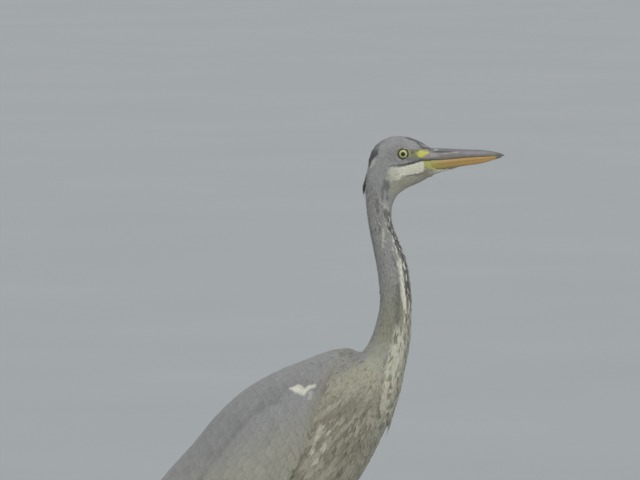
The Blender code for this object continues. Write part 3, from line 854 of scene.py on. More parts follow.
def face_colours(points):
    """How bare, yellow, black and horn-grey the skin of the face is at some places."""
    wide, height, _ = from_eye(points)
    x, y, z = points.T
    flank = (np.abs(y) > 5) & (x > 126) & (height > -6)
    ring = ramp(wide, 9.6, 8.4) * (height > 0)
    lores = ramp(depth_within(points, LORES), -0.6, 0.6) * flank
    line = ramp(from_line(points, GAPE[:4]), 1.6, 0.7) * flank
    jaw = ramp(depth_within(points, JAW_SKIN), -0.5, 0.5) * flank
    bare = np.maximum(np.maximum(ring, lores), np.maximum(line, jaw))
    spot = ramp(depth_within(points, LORES_SPOT), -0.9, 1.5) * flank
    spot *= 0.58 + 0.42 * ramp(x, 164, 172)
    front = ramp(wide, 11.5, 9) * ramp(x, 147, 153)
    dot = ramp(np.hypot(x - LORES_DOT[0], z - LORES_DOT[1]), 3.0, 1.0)
    yellow = np.maximum(0.80 * spot, 0.16 * front * ramp(wide, 7.4, 8.4))
    lay(yellow, 0.5 * jaw)
    horn = np.maximum(*[ramp(depth_within(points, place), -0.4, 0.6) for place in LORES_HORN])
    horn *= flank * (1 - spot)
    black = np.maximum(line * 0.85, 0.80 * ramp(wide, 8.1, 7.6) * (height > 0))
    below = lores * ramp(z, 855, 852) * ramp(x, 160, 170)
    lay(black, np.maximum(0.5 * dot * lores, 0.35 * below))
    return np.c_[bare, yellow, black, horn]


def finder(places):
    """A tree that finds the places near a point."""
    tree = KDTree(len(places))
    for index, place in enumerate(places):
        tree.insert(place, index)
    tree.balance()
    return tree


def add_piece(name, mesh, slot, *nodes):
    """Puts a mesh into the scene as a piece of the bird, standing for solids."""
    piece = placed(name, mesh)
    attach(piece, "root")
    if nodes:
        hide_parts(*nodes)
    return piece


skin_mesh, skin_points = make_skin()
wing_share = ramp(gaps[:, parts.index("trunk")] - gaps[:, parts.index("wing")], -2, 4)
form_finder = finder(form_points)
nearest_form = np.array([form_finder.find(spot)[1] for spot in skin_points])
on_wing = wing_share[nearest_form] * (skin_points[:, 0] < 90)
shares = markings(skin_points) * (1 - on_wing)[:, None]
shares += wing_markings(skin_points) * on_wing[:, None]
wing_tip = (on_wing * ramp(skin_points[:, 0], -205, -225))[:, None]
shares = shares * (1 - wing_tip) + wing_tip * (0.75, 0, 0)
store(skin_mesh, "marks", "color", np.c_[shares, np.full(len(shares), 0.42)])
store(skin_mesh, "face", "color", face_colours(skin_points))
skin_mesh.materials.clear()
skin_mesh.materials.append(skin_material())
skin_mesh.shade_smooth()
skin_nodes = [n for names, _ in FLESH.values() for n in names if not n.startswith("eye")]
add_piece("skin", skin_mesh, "body_down", *skin_nodes)

# ---------------------------------------------------------------- small body feathers
# Head, neck, trunk and thighs are clothed in small soft feathers that overlap like
# tiles. Each is one thin closed vane rooted in the skin: short and hair-like on the face,
# longer down the neck, broadest on the breast and belly.

RAGGED = 0.16  # how uneven the sides of a vane are
CURL = 5  # degrees that a vane bends sideways
CROWD, CLEARANCE = 5.5, 0.84  # random places for each root, and the room it needs
BARB_SLANT = 0.65
PATCH = 0.003  # a vane's size on the bake map
NARROW = (-1, 0, 1)  # points over a small feather, from edge to edge
Vanes = namedtuple("Vanes", "arrays marks length width place material")


def on_form(points):
    """The nearest places on the fused shape, and its normals there."""
    places, faces = [], []
    for point in points.tolist():
        place, _, face, _ = form_tree.find_nearest(point)
        places.append(place)
        faces.append(face)
    corners = form_corners[faces]
    return np.array(places, float), unit(form_normals[corners].sum(1))


form_corners = np.array([face if len(face) == 4 else (*face, face[-1]) for face in form_faces])
face_middles = form_points[form_corners].mean(1)
face_part = form_part[form_corners[:, 0]]
sides_a = form_points[form_corners[:, 2]] - form_points[form_corners[:, 0]]
sides_b = form_points[form_corners[:, 3]] - form_points[form_corners[:, 1]]
face_areas = 0.5 * np.linalg.norm(np.cross(sides_a, sides_b), axis=1)


def sow(chosen, spacing, seed):
    """Roots spread over chosen faces of the fused shape, about evenly, spacing apart.

    spacing is one number a face. Of many random places, taken one after another, each
    clears away those too near it.
    """
    rng = np.random.default_rng(seed)
    faces = np.flatnonzero(chosen)
    crowd = face_areas[faces] / spacing[faces] ** 2 * CROWD
    count = int(crowd.sum())
    picked = faces[rng.choice(len(faces), count, p=crowd / crowd.sum())]
    corners = form_points[form_corners[picked]]
    u, v = rng.random((2, count, 1))
    top = corners[:, 0] * (1 - u) + corners[:, 1] * u
    bottom = corners[:, 3] * (1 - u) + corners[:, 2] * u
    places = top * (1 - v) + bottom * v
    tree = finder(places)
    free = np.ones(count, bool)
    reach = spacing[picked] * CLEARANCE
    for index in range(count):
        if free[index]:
            for _, other, _ in tree.find_range(places[index], reach[index]):
                if other > index:
                    free[other] = False
    return places[free], picked[free]


def stations(outline):
    """The shares of a vane's length where it is measured, from its root to its tip."""
    return np.array([0, *[share for share, _ in outline], 1])


def walk(roots, lie, lengths, shares, seed, wander):
    """The middle line of each vane, laid over the fused shape from its root.

    lie(points) gives the way the feathers lie, and wander is in degrees.
    """
    rng = np.random.default_rng(seed)
    turn = np.radians(rng.normal(0, wander, len(roots)))
    curl = np.radians(rng.normal(0, CURL, len(roots)))
    point, normal = on_form(roots)
    line, normals = [point], [normal]
    for before, after in zip(shares, shares[1:]):
        flow = lie(point)
        flow = unit(flow - normal * (flow * normal).sum(1)[:, None])
        side = np.cross(flow, normal)
        yaw = (turn + curl * after)[:, None]
        step = flow * np.cos(yaw) + side * np.sin(yaw)
        point, normal = on_form(point + step * (lengths * (after - before))[:, None])
        line.append(point)
        normals.append(normal)
    return np.stack(line, 1), np.stack(normals, 1)


def vane_arrays(line, normals, outline, width, depth, lift, thick, across, seed, **more):
    """Corners of closed vanes along their middle lines, and what is stored with them.

    across lists the points over a vane, from its left edge to its right one. depth is
    how far the root sits under the surface, and lift how far the tip stands out.
    """
    rng = np.random.default_rng(seed)
    count = len(line)
    shares = stations(outline)
    rise = -depth[:, None] * (1 - shares) ** 2 + lift[:, None] * shares**2
    line = line + normals * rise[:, :, None]
    ways = unit(np.gradient(line, axis=1))
    side = unit(np.cross(ways, normals))
    up = np.cross(side, ways)
    roll = np.radians(rng.normal(0, more.get("rolling", 6), count))[:, None, None]
    side, up = side * np.cos(roll) + up * np.sin(roll), up * np.cos(roll) - side * np.sin(roll)
    over = np.array(across, float)
    under = over[1:-1][::-1] if len(over) > 3 else np.array([])
    ring = np.r_[over, under]
    top = np.r_[np.ones(len(over)), np.zeros(len(under))]
    wide = np.array([part for _, part in outline])
    half = 0.5 * width[:, None, None] * wide[None, :, None]
    jitter = more.get("ragged", RAGGED) * (np.abs(ring) > 0.9)
    ragged = 1 + rng.uniform(-1, 1, (count, len(wide), len(ring))) * jitter
    sideways = half * ring * ragged
    bow = more.get("bow", 0.12)
    upward = thick * top * (1 - np.abs(ring) ** 1.5) - bow * half * ring**2
    beside, above = side[:, 1:-1, None], up[:, 1:-1, None]
    if "wrap" in more:
        spots, above = more["wrap"](sideways)
        rings = spots + above * (rise[:, 1:-1, None] + upward)[..., None]
    else:
        rings = line[:, 1:-1, None] + beside * sideways[..., None] + above * upward[..., None]
    points = np.concatenate([line[:, :1], rings.reshape(count, -1, 3), line[:, -1:]], 1)
    lean = beside * (ring * more.get("round", 0.5))[:, None]
    soft = []
    for way in (1, -1):  # what the upper and the under side face
        middle = unit(way * above + lean).reshape(count, -1, 3)
        soft.append(np.concatenate([up[:, :1] * way, middle, up[:, -1:] * way], 1))
    places = np.concatenate([[0], np.tile(ring, len(wide)), [0]])
    runs = np.concatenate([[0], np.repeat(shares[1:-1], len(ring)), [1]])
    return points, soft, places, runs, len(ring), len(wide), len(over)


def vane_loops(count, around, rings, over):
    """Corner numbers of every face of so many vanes, where each face begins, and which
    corners are on the under side."""
    each = 2 + around * rings
    k = np.arange(around)
    after = (k + 1) % around
    first = 1 + k
    fans = [np.c_[np.zeros(around, int), 1 + after, first].ravel()]
    for ring in range(rings - 1):
        low, high = 1 + ring * around, 1 + (ring + 1) * around
        fans.append(np.c_[low + k, low + after, high + after, high + k].ravel())
    last = 1 + (rings - 1) * around
    fans.append(np.c_[np.full(around, each - 1), last + k, last + after].ravel())
    one = np.concatenate(fans)
    sizes = np.r_[np.full(around, 3), np.full(around * (rings - 1), 4), np.full(around, 3)]
    corners = (np.arange(count)[:, None] * each + one).ravel()
    starts = np.r_[0, np.cumsum(np.tile(sizes, count))[:-1]]
    under = np.repeat(np.tile(k >= over - 1, rings + 1), sizes)
    return corners, starts, np.tile(under, count)


def lay_vanes(name, batches, slot, *nodes):
    """One piece from several batches of vanes, with their colours and bake map."""
    points, soft, marks, vane, patch, corners, starts = [], [], [], [], [], [], []
    base, loops = 0, 0
    for batch in batches:
        spots, normals, places, runs, around, rings, over = batch.arrays
        count, each = spots.shape[:2]
        own_corners, own_starts, under = vane_loops(count, around, rings, over)
        upper, lower = (n.reshape(-1, 3)[own_corners] for n in normals)
        soft.append(np.where(under[:, None], lower, upper))
        corners.append(own_corners + base)
        starts.append(own_starts + loops)
        base += count * each
        loops += len(own_corners)
        points.append(spots.reshape(-1, 3))
        own = batch.marks
        marks.append(np.repeat(own, each, 0) if own.ndim == 2 else own.reshape(-1, 4))
        length, width = batch.length[:, None], batch.width[:, None]
        barb = runs * length - BARB_SLANT * np.abs(places) * width
        wide = np.broadcast_to(places, barb.shape)
        far = np.broadcast_to(runs, barb.shape)
        vane.append(np.stack([wide, far, barb], -1).reshape(-1, 3))
        corner = np.stack([0.5 + wide * 0.5, far], -1) * PATCH
        patch.append((batch.place[:, None] * (1 - 2 * PATCH) + corner).reshape(-1, 2))
    rows = (points, soft, marks, vane, patch, corners, starts)
    points, soft, marks, vane, patch, corners, starts = map(np.concatenate, rows)
    mesh = bpy.data.meshes.new(name)
    mesh.vertices.add(len(points))
    mesh.vertices.foreach_set("co", (points * MM).astype(np.float32).ravel())
    mesh.loops.add(len(corners))
    mesh.loops.foreach_set("vertex_index", corners.astype(np.int32))
    mesh.polygons.add(len(starts))
    mesh.polygons.foreach_set("loop_start", starts.astype(np.int32))
    mesh.update(calc_edges=True)
    mesh.shade_smooth()
    store(mesh, "marks", "color", marks)
    store(mesh, "vane", "vector", vane)
    bake_map = mesh.uv_layers.new(name="OFBake")
    bake_map.uv.foreach_set("vector", patch[corners].astype(np.float32).ravel())
    mesh.normals_split_custom_set(soft.astype(np.float32))
    mesh.materials.append(batches[0].material)
    return add_piece(name, mesh, slot, *nodes)


def one_side(batch, side):
    """The vanes of a batch that are rooted on one side of the bird."""
    points, soft, *rest = batch.arrays
    own = (points[:, 0, 1] > 0) == (side > 0)
    arrays = (points[own], [normals[own] for normals in soft], *rest)
    return Vanes(arrays, *[values[own] for values in batch[1:5]], batch.material)


def spread_out(values):
    """Values brought to run from 0 to 1."""
    low, high = values.min(), values.max()
    return (values - low) / max(high - low, 1e-9)


def unwrap_round(points):
    """Each root's place on the skin unrolled: round the body, and along it."""
    run, angle, _ = bird_place(points)
    return np.c_[(angle + math.pi) / math.tau, spread_out(run)]


def body_lie(points):
    """Feathers lie toward the tail, and on the breast they also hang a little."""
    run, _, tailward = bird_place(points)
    hang = 0.45 * ramp(run, 320, 380) * ramp(run, 640, 500)
    return tailward - np.array((0, 0, 1)) * hang[:, None]


def shade(count, seed, spread=0.12):
    """Each vane's own lightness, 0.5 being even."""
    return 0.5 + np.random.default_rng(seed).normal(0, spread, count)


def clothe(chosen, spacing, length, width, outline, material, seed, depth, lift, **more):
    """A batch of small feathers sown on chosen faces. Sizes are one number a face."""
    roots, faces = sow(chosen, spacing, seed)
    rng = np.random.default_rng(seed + 1)
    size = rng.uniform(0.82, 1.18, len(roots))
    long, wide = length[faces] * size, width[faces] * rng.uniform(0.85, 1.15, len(roots))
    lie, shares = more.get("lie", body_lie), stations(outline)
    line, normals = walk(roots, lie, long, shares, seed + 2, more.get("wander", 7))
    deep, out = np.minimum(depth, long * 0.3), rng.uniform(*lift, len(roots))
    thick = more.get("thick", 0.3)
    arrays = vane_arrays(line, normals, outline, wide, deep, out, thick, NARROW, seed + 3)
    seen = line[:, len(outline) // 2 + 1]
    own = more.get("marks", markings)(seen)
    if "varied" in more:
        chance = rng.random(len(own))
        round_front = np.abs(bird_place(seen)[1])
        amount = more["varied"] * ramp(seen[:, 2], 620, 540) * ramp(round_front, 2.2, 1.8)
        lay(own[:, 0], amount * ramp(chance, 0.72, 0.95))
        lay(own[:, 1], amount * ramp(chance, 0.25, 0.05))
    own = np.c_[own, shade(len(roots), seed + 4, more.get("spread", 0.12))]
    return Vanes(arrays, own, long, wide, more.get("unwrap", unwrap_round)(roots), material)


face_run = bird_place(face_middles)[0]
eye_gap, eye_height, _ = from_eye(face_middles)
is_head, is_neck, is_trunk, is_thigh = (face_part == n for n in range(4))
is_head &= face_run > 1
flank = np.abs(face_middles[:, 1]) > 4
bare_face = (eye_gap < 8.4) & (eye_height > 0)
for bare_place in (LORES, JAW_SKIN):
    bare_face |= (depth_within(face_middles, bare_place) > -0.3) & flank

# Head: the shortest feathers stand at the bill's root and round the eyes.
HAIRY = [(0.3, 0.85), (0.62, 1.0), (0.87, 0.6)]
near_bare = np.minimum(ramp(eye_gap, 9, 26), ramp(face_middles[:, 0], 186, 150))
head_feather = feather_material("head_feather", (0.300, 0.300, 0.290), 0.05, 0.05)
head_coat = clothe(
    is_head & ~bare_face, 1.05 + 0.55 * near_bare, 3.6 + 5.4 * near_bare,
    1.15 + 0.75 * near_bare, HAIRY, head_feather, 100, 1.1, (-0.1, 0.25), thick=0.22,
    wander=6, spread=0.10,
)


CHIN_COUNT = 42


def chin_batch():
    """Loose pale feathers from between the jaws, whose tips hang a little below them."""
    rng = np.random.default_rng(150)
    count = CHIN_COUNT
    at = rng.uniform(0, 1, count)
    root = np.c_[196 + 28 * at, rng.uniform(-3, 3, count) * (1 - 0.6 * at), 838.6 + 2.8 * at]
    long = rng.uniform(9, 15, count)
    way = np.c_[-np.ones(count), rng.normal(0, 0.06, count), rng.uniform(-0.50, -0.12, count)]
    shares = stations(HAIRY)
    line = root[:, None] + unit(way)[:, None] * (shares * long[:, None])[..., None]
    normals = np.tile(unit(np.array((-0.2, 0.0, -1.0))), (count, len(shares), 1))
    normals[..., 1] = 0.25 * root[:, None, 1]
    wide, flat = rng.uniform(1.2, 2.0, count), np.zeros(count)
    arrays = vane_arrays(line, unit(normals), HAIRY, wide, flat, flat, 0.22, NARROW, 151)
    own = np.c_[0.12 * rng.random(count), rng.uniform(0.4, 0.85, count), flat + 0.4, flat + 0.5]
    return Vanes(arrays, own, long, wide, unwrap_round(root), head_feather)


lay_vanes("head_coat", [head_coat, chin_batch()], "head_down")

# Neck: narrow soft feathers, twice as long at its root as below the head.
SOFT = [(0.25, 0.8), (0.55, 1.0), (0.82, 0.62)]
lower = ramp(face_run, 120, 320)
neck_feather = feather_material(
    "neck_feather", (0.280, 0.278, 0.262), 0.06, 0.05, warm=(0.235, 0.230, 0.160)
)
neck_coat = clothe(
    is_neck, 1.75 + 0.6 * lower, 10 + 12 * lower, 2.0 + 1.2 * lower, SOFT, neck_feather, 200,
    2.4, (-0.2, 0.35), thick=0.25, wander=5, spread=0.09,
)
lay_vanes("neck_coat", [neck_coat], "neck_down")

# Breast, flanks, back and belly: longer loose feathers.
BROAD = [(0.2, 0.72), (0.45, 1.0), (0.7, 0.95), (0.9, 0.55)]
trunk_length = 20 + 14 * ramp(face_run, 350, 470)
trunk_width = 3.4 + 1.8 * ramp(face_run, 340, 470)
trunk_spacing = 2.3 + 0.7 * ramp(face_run, 340, 470)
trunk_spacing *= 1 - 0.22 * ramp(from_line(face_middles, HUMP), 34, 12)
trunk_feather = feather_material(
    "trunk_feather", (0.270, 0.262, 0.235), 0.25, 0.12, dark=(0.082, 0.073, 0.056)
)
trunk_coat = clothe(
    is_trunk, trunk_spacing, trunk_length, trunk_width, BROAD, trunk_feather, 300,
    4.2, (-0.4, 0.4), wander=5, spread=0.10, varied=0.22,
)
for side_name, side in SIDES.items():
    lay_vanes("trunk_coat_" + side_name, [one_side(trunk_coat, side)], "body_down")


# Thighs: short grey-brown feathers that lie straight down the leg.
THIGH_MIDDLE = (-30, 39)


def thigh_lie(points):
    """Down the leg, and a little back above."""
    return np.tile((-0.22, 0.0, -1.0), (len(points), 1))


def thigh_marks(points):
    """Even, with a soft brown wash and a paler inner side."""
    inner = ramp(np.abs(points[:, 1]), 38, 24)
    cloud = blotches(points, 14, 61)
    return np.c_[0.08 * cloud, 0.35 * inner + 0.12 * cloud, 0.45 + 0 * inner]


def thigh_unwrap(points):
    """Round each thigh and down it, the right one on the left half."""
    side = (points[:, 1] > 0).astype(float)
    angle = np.arctan2(np.abs(points[:, 1]) - THIGH_MIDDLE[1], points[:, 0] - THIGH_MIDDLE[0])
    return np.c_[(angle + math.pi) / math.tau * 0.49 + side * 0.5, spread_out(points[:, 2])]


thigh_length = 11 + 7 * ramp(face_middles[:, 2], 225, 330)
flat_size = np.ones(len(face_middles))
thigh_feather = feather_material("thigh_feather", (0.29, 0.285, 0.265), 0.06, 0.05)
thigh_coat = clothe(
    is_thigh, 2.15 * flat_size, thigh_length, 3.0 * flat_size, SOFT, thigh_feather, 400,
    2.6, (-0.2, 0.4), lie=thigh_lie, marks=thigh_marks, unwrap=thigh_unwrap,
)
lay_vanes("thigh_coat", [thigh_coat], "thigh_down")

# Crest: long dark feathers from the hind crown, lying down the nape.
LANCE = [(0.12, 0.7), (0.32, 1.0), (0.55, 0.85), (0.78, 0.5), (0.93, 0.22)]
CREST_LINE = [
    (118, 877.5), (111, 871.5), (104, 862), (99, 850), (96.3, 836), (93.6, 823), (90.6, 811),
    (91.4, 802), (92.4, 792),
]
CREST_COUNT = 220  # the last of them are the longer plumes under the others
CREST_PLUMES = 76
CREST_STEP = 12.5  # between the places of its line


def crest_batch():
    """Feathers along the nape's line, the longest ones in the middle."""
    rng = np.random.default_rng(500)
    count = CREST_COUNT
    plume = np.arange(count) >= count - CREST_PLUMES
    start = np.where(plume, rng.uniform(3.3, 4.9, count), rng.uniform(0, 1.9, count))
    across = rng.normal(0, 1, count).clip(-1.4, 1.4) * np.where(plume, 0.5, 1)
    long = np.where(plume, rng.uniform(22, 34, count), rng.uniform(13, 21, count))
    long *= 1 - 0.12 * np.abs(across)
    at = start[:, None] + stations(LANCE) * long[:, None] / CREST_STEP
    at = np.minimum(at, len(CREST_LINE) - 1)
    flat = between_rows(CREST_LINE, at.ravel()).reshape(*at.shape, 2)
    spread = 4.6 * across[:, None] * (1 - 0.5 * ramp(at, 3, 8))
    # Away from the middle line the feathers lie on the rounding of the nape.
    sink = 0.055 * spread**2
    way = unit(np.gradient(flat, axis=1))
    out = np.stack([way[..., 1], -way[..., 0]], -1)
    out *= np.where(out[..., :1] > 0, -1, 1)
    under = rng.uniform(-0.8, 1.2, (count, 1)) * (1 + 0.9 * plume[:, None])
    under = under + 3.5 * plume[:, None] * ramp(at, 4.4, 3.4)
    flat = flat - out * (sink + under)[..., None]
    line = np.stack([flat[..., 0], spread, flat[..., 1]], -1)
    normals = unit(np.stack([out[..., 0], 0.22 * spread, out[..., 1]], -1))
    wide = rng.uniform(1.8, 2.8, count) * (1 - 0.25 * plume)
    deep, lift = np.full(count, 2.2), rng.uniform(-0.3, 0.5, count)
    lift += 1.5 * ramp(start, 1.6, 0.4) * rng.random(count) ** 3
    arrays = vane_arrays(line, normals, LANCE, wide, deep, lift, 0.3, NARROW, 501)
    dark = 0.45 + 0.35 * ramp(start, 0.2, 1.5) + 0.18 * rng.random(count)
    own = np.c_[dark, np.zeros(count), np.zeros(count), shade(count, 502)]
    place = np.c_[spread_out(across), spread_out(start)]
    feather = feather_material("crest_feather", (0.2, 0.205, 0.21), 0.2, 0.0)
    return Vanes(arrays, own, long, wide, place, feather)


lay_vanes("crest_coat", [crest_batch()], "crest_feather", "crest")

# Breast plumes: long narrow feathers that hang in front from the root of the neck.
PLUME_LINE = [
    (156.5, 612), (153.5, 592), (150.3, 572), (146.5, 551), (141.5, 529), (135.5, 508),
    (130, 489), (125, 472), (121.5, 458),
]
PLUME_COUNT = 150
PLUME_STEP = 20.5


def plume_batch():
    """Feathers down the front of the breast, ending in a loose hanging tuft."""
    rng = np.random.default_rng(520)
    count = PLUME_COUNT
    start = rng.uniform(0, 4.6, count)
    across = rng.uniform(-1, 1, count)
    long = rng.uniform(38, 66, count) * (1 - 0.2 * np.abs(across))
    shares = stations(LANCE)
    at = np.minimum(start[:, None] + shares * long[:, None] / PLUME_STEP, len(PLUME_LINE) - 1)
    flat = between_rows(PLUME_LINE, at.ravel()).reshape(*at.shape, 2)
    breadth = 13 * ramp(at, -1, 2.5) * (1 - 0.8 * ramp(at, 4.6, 8))
    spread = across[:, None] * breadth + rng.normal(0, 1, (count, 1)) * shares
    sink = 0.020 * spread**2 + rng.uniform(0, 2.5, (count, 1))
    line = np.stack([flat[..., 0] - sink, spread, flat[..., 1] - 0.4 * sink], -1)
    normals = unit(np.stack([np.ones_like(at), 0.045 * spread, np.full_like(at, -0.25)], -1))
    wide = rng.uniform(2.6, 4.4, count)
    deep, lift = np.full(count, 4.0), rng.uniform(-0.5, 0.8, count)
    arrays = vane_arrays(line, normals, LANCE, wide, deep, lift, 0.3, NARROW, 521)
    kind = rng.random(count)
    dark = np.where(kind > 0.78, 0.45, 0.05)
    pale = np.where(kind < 0.6, 0.30 + 0.35 * rng.random(count), 0.1)
    pale *= 1 - 0.6 * ramp(start, 1.8, 3.0)
    own = np.c_[dark, pale, 0.6 + 0.4 * rng.random(count), shade(count, 522)]
    place = np.c_[spread_out(across), spread_out(start)]
    return Vanes(arrays, own, long, wide, place, trunk_feather)


lay_vanes("plume_coat", [plume_batch()], "body_down", "breast_plumes")

# ---------------------------------------------------------------- wings
# Each folded wing is shingled with coverts in rows across it, small at the shoulder and
# larger toward its end, with the scapulars over its upper part. Secondaries, tertials
# and the slate primaries come out from under them and close over the tail.

WING = [  # upper edge, lower edge, upper edge from the midline, widest from the midline
    (74, 578, 66, 540, 22, 44), (51, 585, 46, 508, 24, 66), (10, 571, 24, 468, 22, 78),
    (-36, 552, -2, 423, 16, 83), (-76, 528, -39, 376, 10, 83), (-113, 494, -80, 334, 6, 79),
    (-148, 452, -128, 294, 3, 69), (-182, 414, -176, 263, 2, 56),
    (-213, 374, -220, 241, 2, 43), (-241, 325, -254, 225, 2, 31),
    (-266, 274, -274, 216, 2, 20), (-283.5, 224, -284.8, 213, 2, 12),
]
WING_ARC = math.radians(115)
WING_END = len(WING) - 1
WING_CLOSE = 0.13  # how far above its upper edge a wing closes to the midline
FEATHER_ACROSS = (-1, -0.86, -0.45, 0, 0.45, 0.86, 1)
ROUNDED = [
    (0.06, 0.3), (0.18, 0.72), (0.36, 0.96), (0.56, 1.0), (0.74, 0.92), (0.88, 0.68), (0.965, 0.36),
]
POINTED = [
    (0.05, 0.35), (0.16, 0.8), (0.34, 1.0), (0.54, 0.92), (0.72, 0.7), (0.87, 0.42), (0.96, 0.2),
]


def wing_face(run, down, side):
    """Places on a wing's outer face: run from shoulder (0) to tip (11), down from its
    upper edge (0) to its lower one (1)."""
    row = between_rows(WING, np.clip(run, 0, WING_END))
    row = row + np.minimum(run, 0)[:, None] * np.subtract(WING[1], WING[0])
    past = np.maximum(run - WING_END, 0)[:, None]
    before = between_rows(WING, np.full(len(run), WING_END - 0.25))
    row = row + past * 4 * (row - before) * (past > 0)
    angle = WING_ARC * down
    share = (1 - np.cos(angle * np.where(down < 0, 0.4, 1))) / (1 - math.cos(WING_ARC))
    x = row[:, 0] + (row[:, 2] - row[:, 0]) * share
    z = row[:, 1] + (row[:, 3] - row[:, 1]) * share
    y = row[:, 4] + (row[:, 5] - row[:, 4]) * np.sin(np.maximum(angle, 0))
    y *= np.clip(1 + down / WING_CLOSE, 0, 1)
    return np.c_[x, side * y, z]


def wing_spot(run, down, side):
    """A place on a wing's outer face, its normal, and the ways along and down it."""
    step = 0.02
    down = np.maximum(down, 0.002 - WING_CLOSE)
    here = wing_face(run, down, side)
    ahead = (wing_face(run + step, down, side) - here) / step
    below = (wing_face(run, down + step, side) - here) / step
    return here, unit(np.cross(ahead, below)) * -side[:, None], ahead, below


def wing_walk(run, down, side, lengths, outline, drift, seed):
    """The middle line of each wing feather, from its root toward the wing's end."""
    rng = np.random.default_rng(seed)
    turn = rng.normal(0, 2, len(run)) * 0.01
    line, normals, spots = [], [], []
    shares = stations(outline)
    for before, after in zip(shares, [*shares[1:], 1]):
        here, normal, ahead, below = wing_spot(run, down, side)
        line.append(here)
        normals.append(normal)
        wide = np.maximum(np.linalg.norm(below, axis=1), 15)
        spots.append(np.stack([run, down, wide], 1))
        part = lengths * (after - before)
        run = run + part / np.maximum(np.linalg.norm(ahead, axis=1), 15)
        down = down + part * (drift + turn) / wide
    spots = np.stack(spots, 1)[:, 1:-1, None]

    def wrap(sideways):
        """Places beside the middle line, over the rounding of the wing."""
        shape = sideways.shape
        where = np.broadcast_to(spots, (*shape, 3)).reshape(-1, 3)
        which = np.broadcast_to(side[:, None, None], shape).ravel()
        off = where[:, 1] + which * sideways.ravel() / where[:, 2]
        here, normal, _, _ = wing_spot(where[:, 0], off, which)
        return here.reshape(*shape, 3), normal.reshape(*shape, 3)

    return np.stack(line, 1), np.stack(normals, 1), wrap


def wing_unwrap(run, down, side):
    """Along the wing and down it, the right wing on the left half."""
    half = (side > 0) * 0.5
    return np.c_[0.01 + 0.47 * np.clip(down, 0, 1) + half, np.clip(run / len(WING), 0, 1)]


def left_ahead(run, down):
    """How far it is from a root to the wing's end. The upper feathers reach past it."""
    down = np.clip(down, 0, 1)
    side = np.full(len(run), LEFT)
    steps = np.linspace(0, 1, 12)
    places = [wing_face(run + (WING_END - run) * step, down, side) for step in steps]
    return np.linalg.norm(np.diff(places, axis=0), axis=2).sum(0) + 10 * (1 - down)


WING_LIFT = (-0.2, 0.5)
WING_THICK = 0.45


def wing_batch(run, down, lengths, widths, outline, seed, marks, depth, drift=0.0):
    """A batch of wing feathers on both sides from their roots on the right wing."""
    side = np.repeat([RIGHT, LEFT], len(run))
    run, down = np.tile(run, 2), np.tile(down, 2)
    rng = np.random.default_rng(seed)
    run = run + rng.normal(0, 0.02, len(run))
    lengths = np.tile(lengths, 2) * rng.uniform(0.93, 1.07, len(run))
    lengths = np.minimum(lengths, left_ahead(run, down))
    widths = np.tile(widths, 2) * rng.uniform(0.95, 1.05, len(run))
    line, normals, wrap = wing_walk(run, down, side, lengths, outline, drift, seed + 1)
    lift = rng.uniform(*WING_LIFT, len(run))
    arrays = vane_arrays(
        line, normals, outline, widths, np.full(len(run), depth), lift, WING_THICK,
        FEATHER_ACROSS, seed + 2, rolling=2.5, bow=0.10, round=0.25, ragged=0.05, wrap=wrap,
    )
    spots = arrays[0]
    each = spots.shape[1]
    own = marks(spots.reshape(-1, 3), np.repeat(run, each))
    light = np.repeat(shade(len(run), seed + 3, 0.07), each)
    own = np.c_[own, light].reshape(len(run), each, 4)
    return Vanes(arrays, own, lengths, widths, wing_unwrap(run, down, side), wing_feather)


def covert_size(run):
    """Length and width of the feathers at some place along the wing."""
    length = 17 + 30 * ramp(run, 0.5, 6.5)
    return length, 0.30 * length + 5.5


COVERT_ROWS = (-0.15, 8.2)  # along the wing, from the first row to the last
COVERT_SPAN = (-0.12, 1.03)  # down the wing, from a row's upper end to its lower one
COVERT_LEAN = 0.9  # how much further back a row's upper end lies


def covert_roots():
    """Roots in rows across the wing, each row set half a feather off the last."""
    run, down = [], []
    (at, end), (top, bottom), odd = COVERT_ROWS, COVERT_SPAN, 0
    while at < end:
        length, width = covert_size(at)
        row = wing_face(np.full(40, at), np.linspace(top, bottom, 40), np.full(40, LEFT))
        around = np.linalg.norm(np.diff(row, axis=0), axis=1).sum()
        count = max(3, int(around / (0.50 * width)))
        share = (np.arange(count) + 0.5 * odd) / count * (bottom - top) + top
        run.extend(at + COVERT_LEAN * (0.5 - share))
        down.extend(share)
        here, there = wing_face(np.array([at, at + 0.5]), np.full(2, 0.5), np.full(2, LEFT))
        at += 0.36 * length / max(np.linalg.norm(there - here) * 2, 20)
        odd = 1 - odd
    run, down = np.array(run), np.array(down)
    keep = (run > -0.4) & (run < 8.4)
    return run[keep], down[keep]


def covert_marks(points, run):
    """The wings' markings, slate toward the tip."""
    own = wing_markings(points)
    lay(own[:, 0], 0.30 * ramp(run, 6.5, 9.5))
    return own


wing_feather = feather_material("wing_feather", (0.268, 0.264, 0.260), 0.22, 0.16, mottle=0.16)
root_run, root_down = covert_roots()
coverts = wing_batch(
    root_run, root_down, *covert_size(root_run), ROUNDED, 600, covert_marks, 3.2
)


def slate_marks(points, run):
    """Flight feathers are slate, darker toward the wing's end."""
    dark = 0.25 + 0.50 * ramp(run, 5.0, 8.5)
    return np.c_[dark, 0 * dark, 0 * dark]


def tertial_marks(points, run):
    """The long inner feathers are like the coverts, a little darker."""
    own = wing_markings(points)
    lay(own[:, 0], 0.12)
    return own


def flight_row(count, run, down, lengths, width, *rest):
    """A row of long feathers, evenly from the first to the last value of each pair."""
    run, down, lengths = (np.linspace(*ends, count) for ends in (run, down, lengths))
    return wing_batch(run, down, lengths, np.full(count, width), *rest)


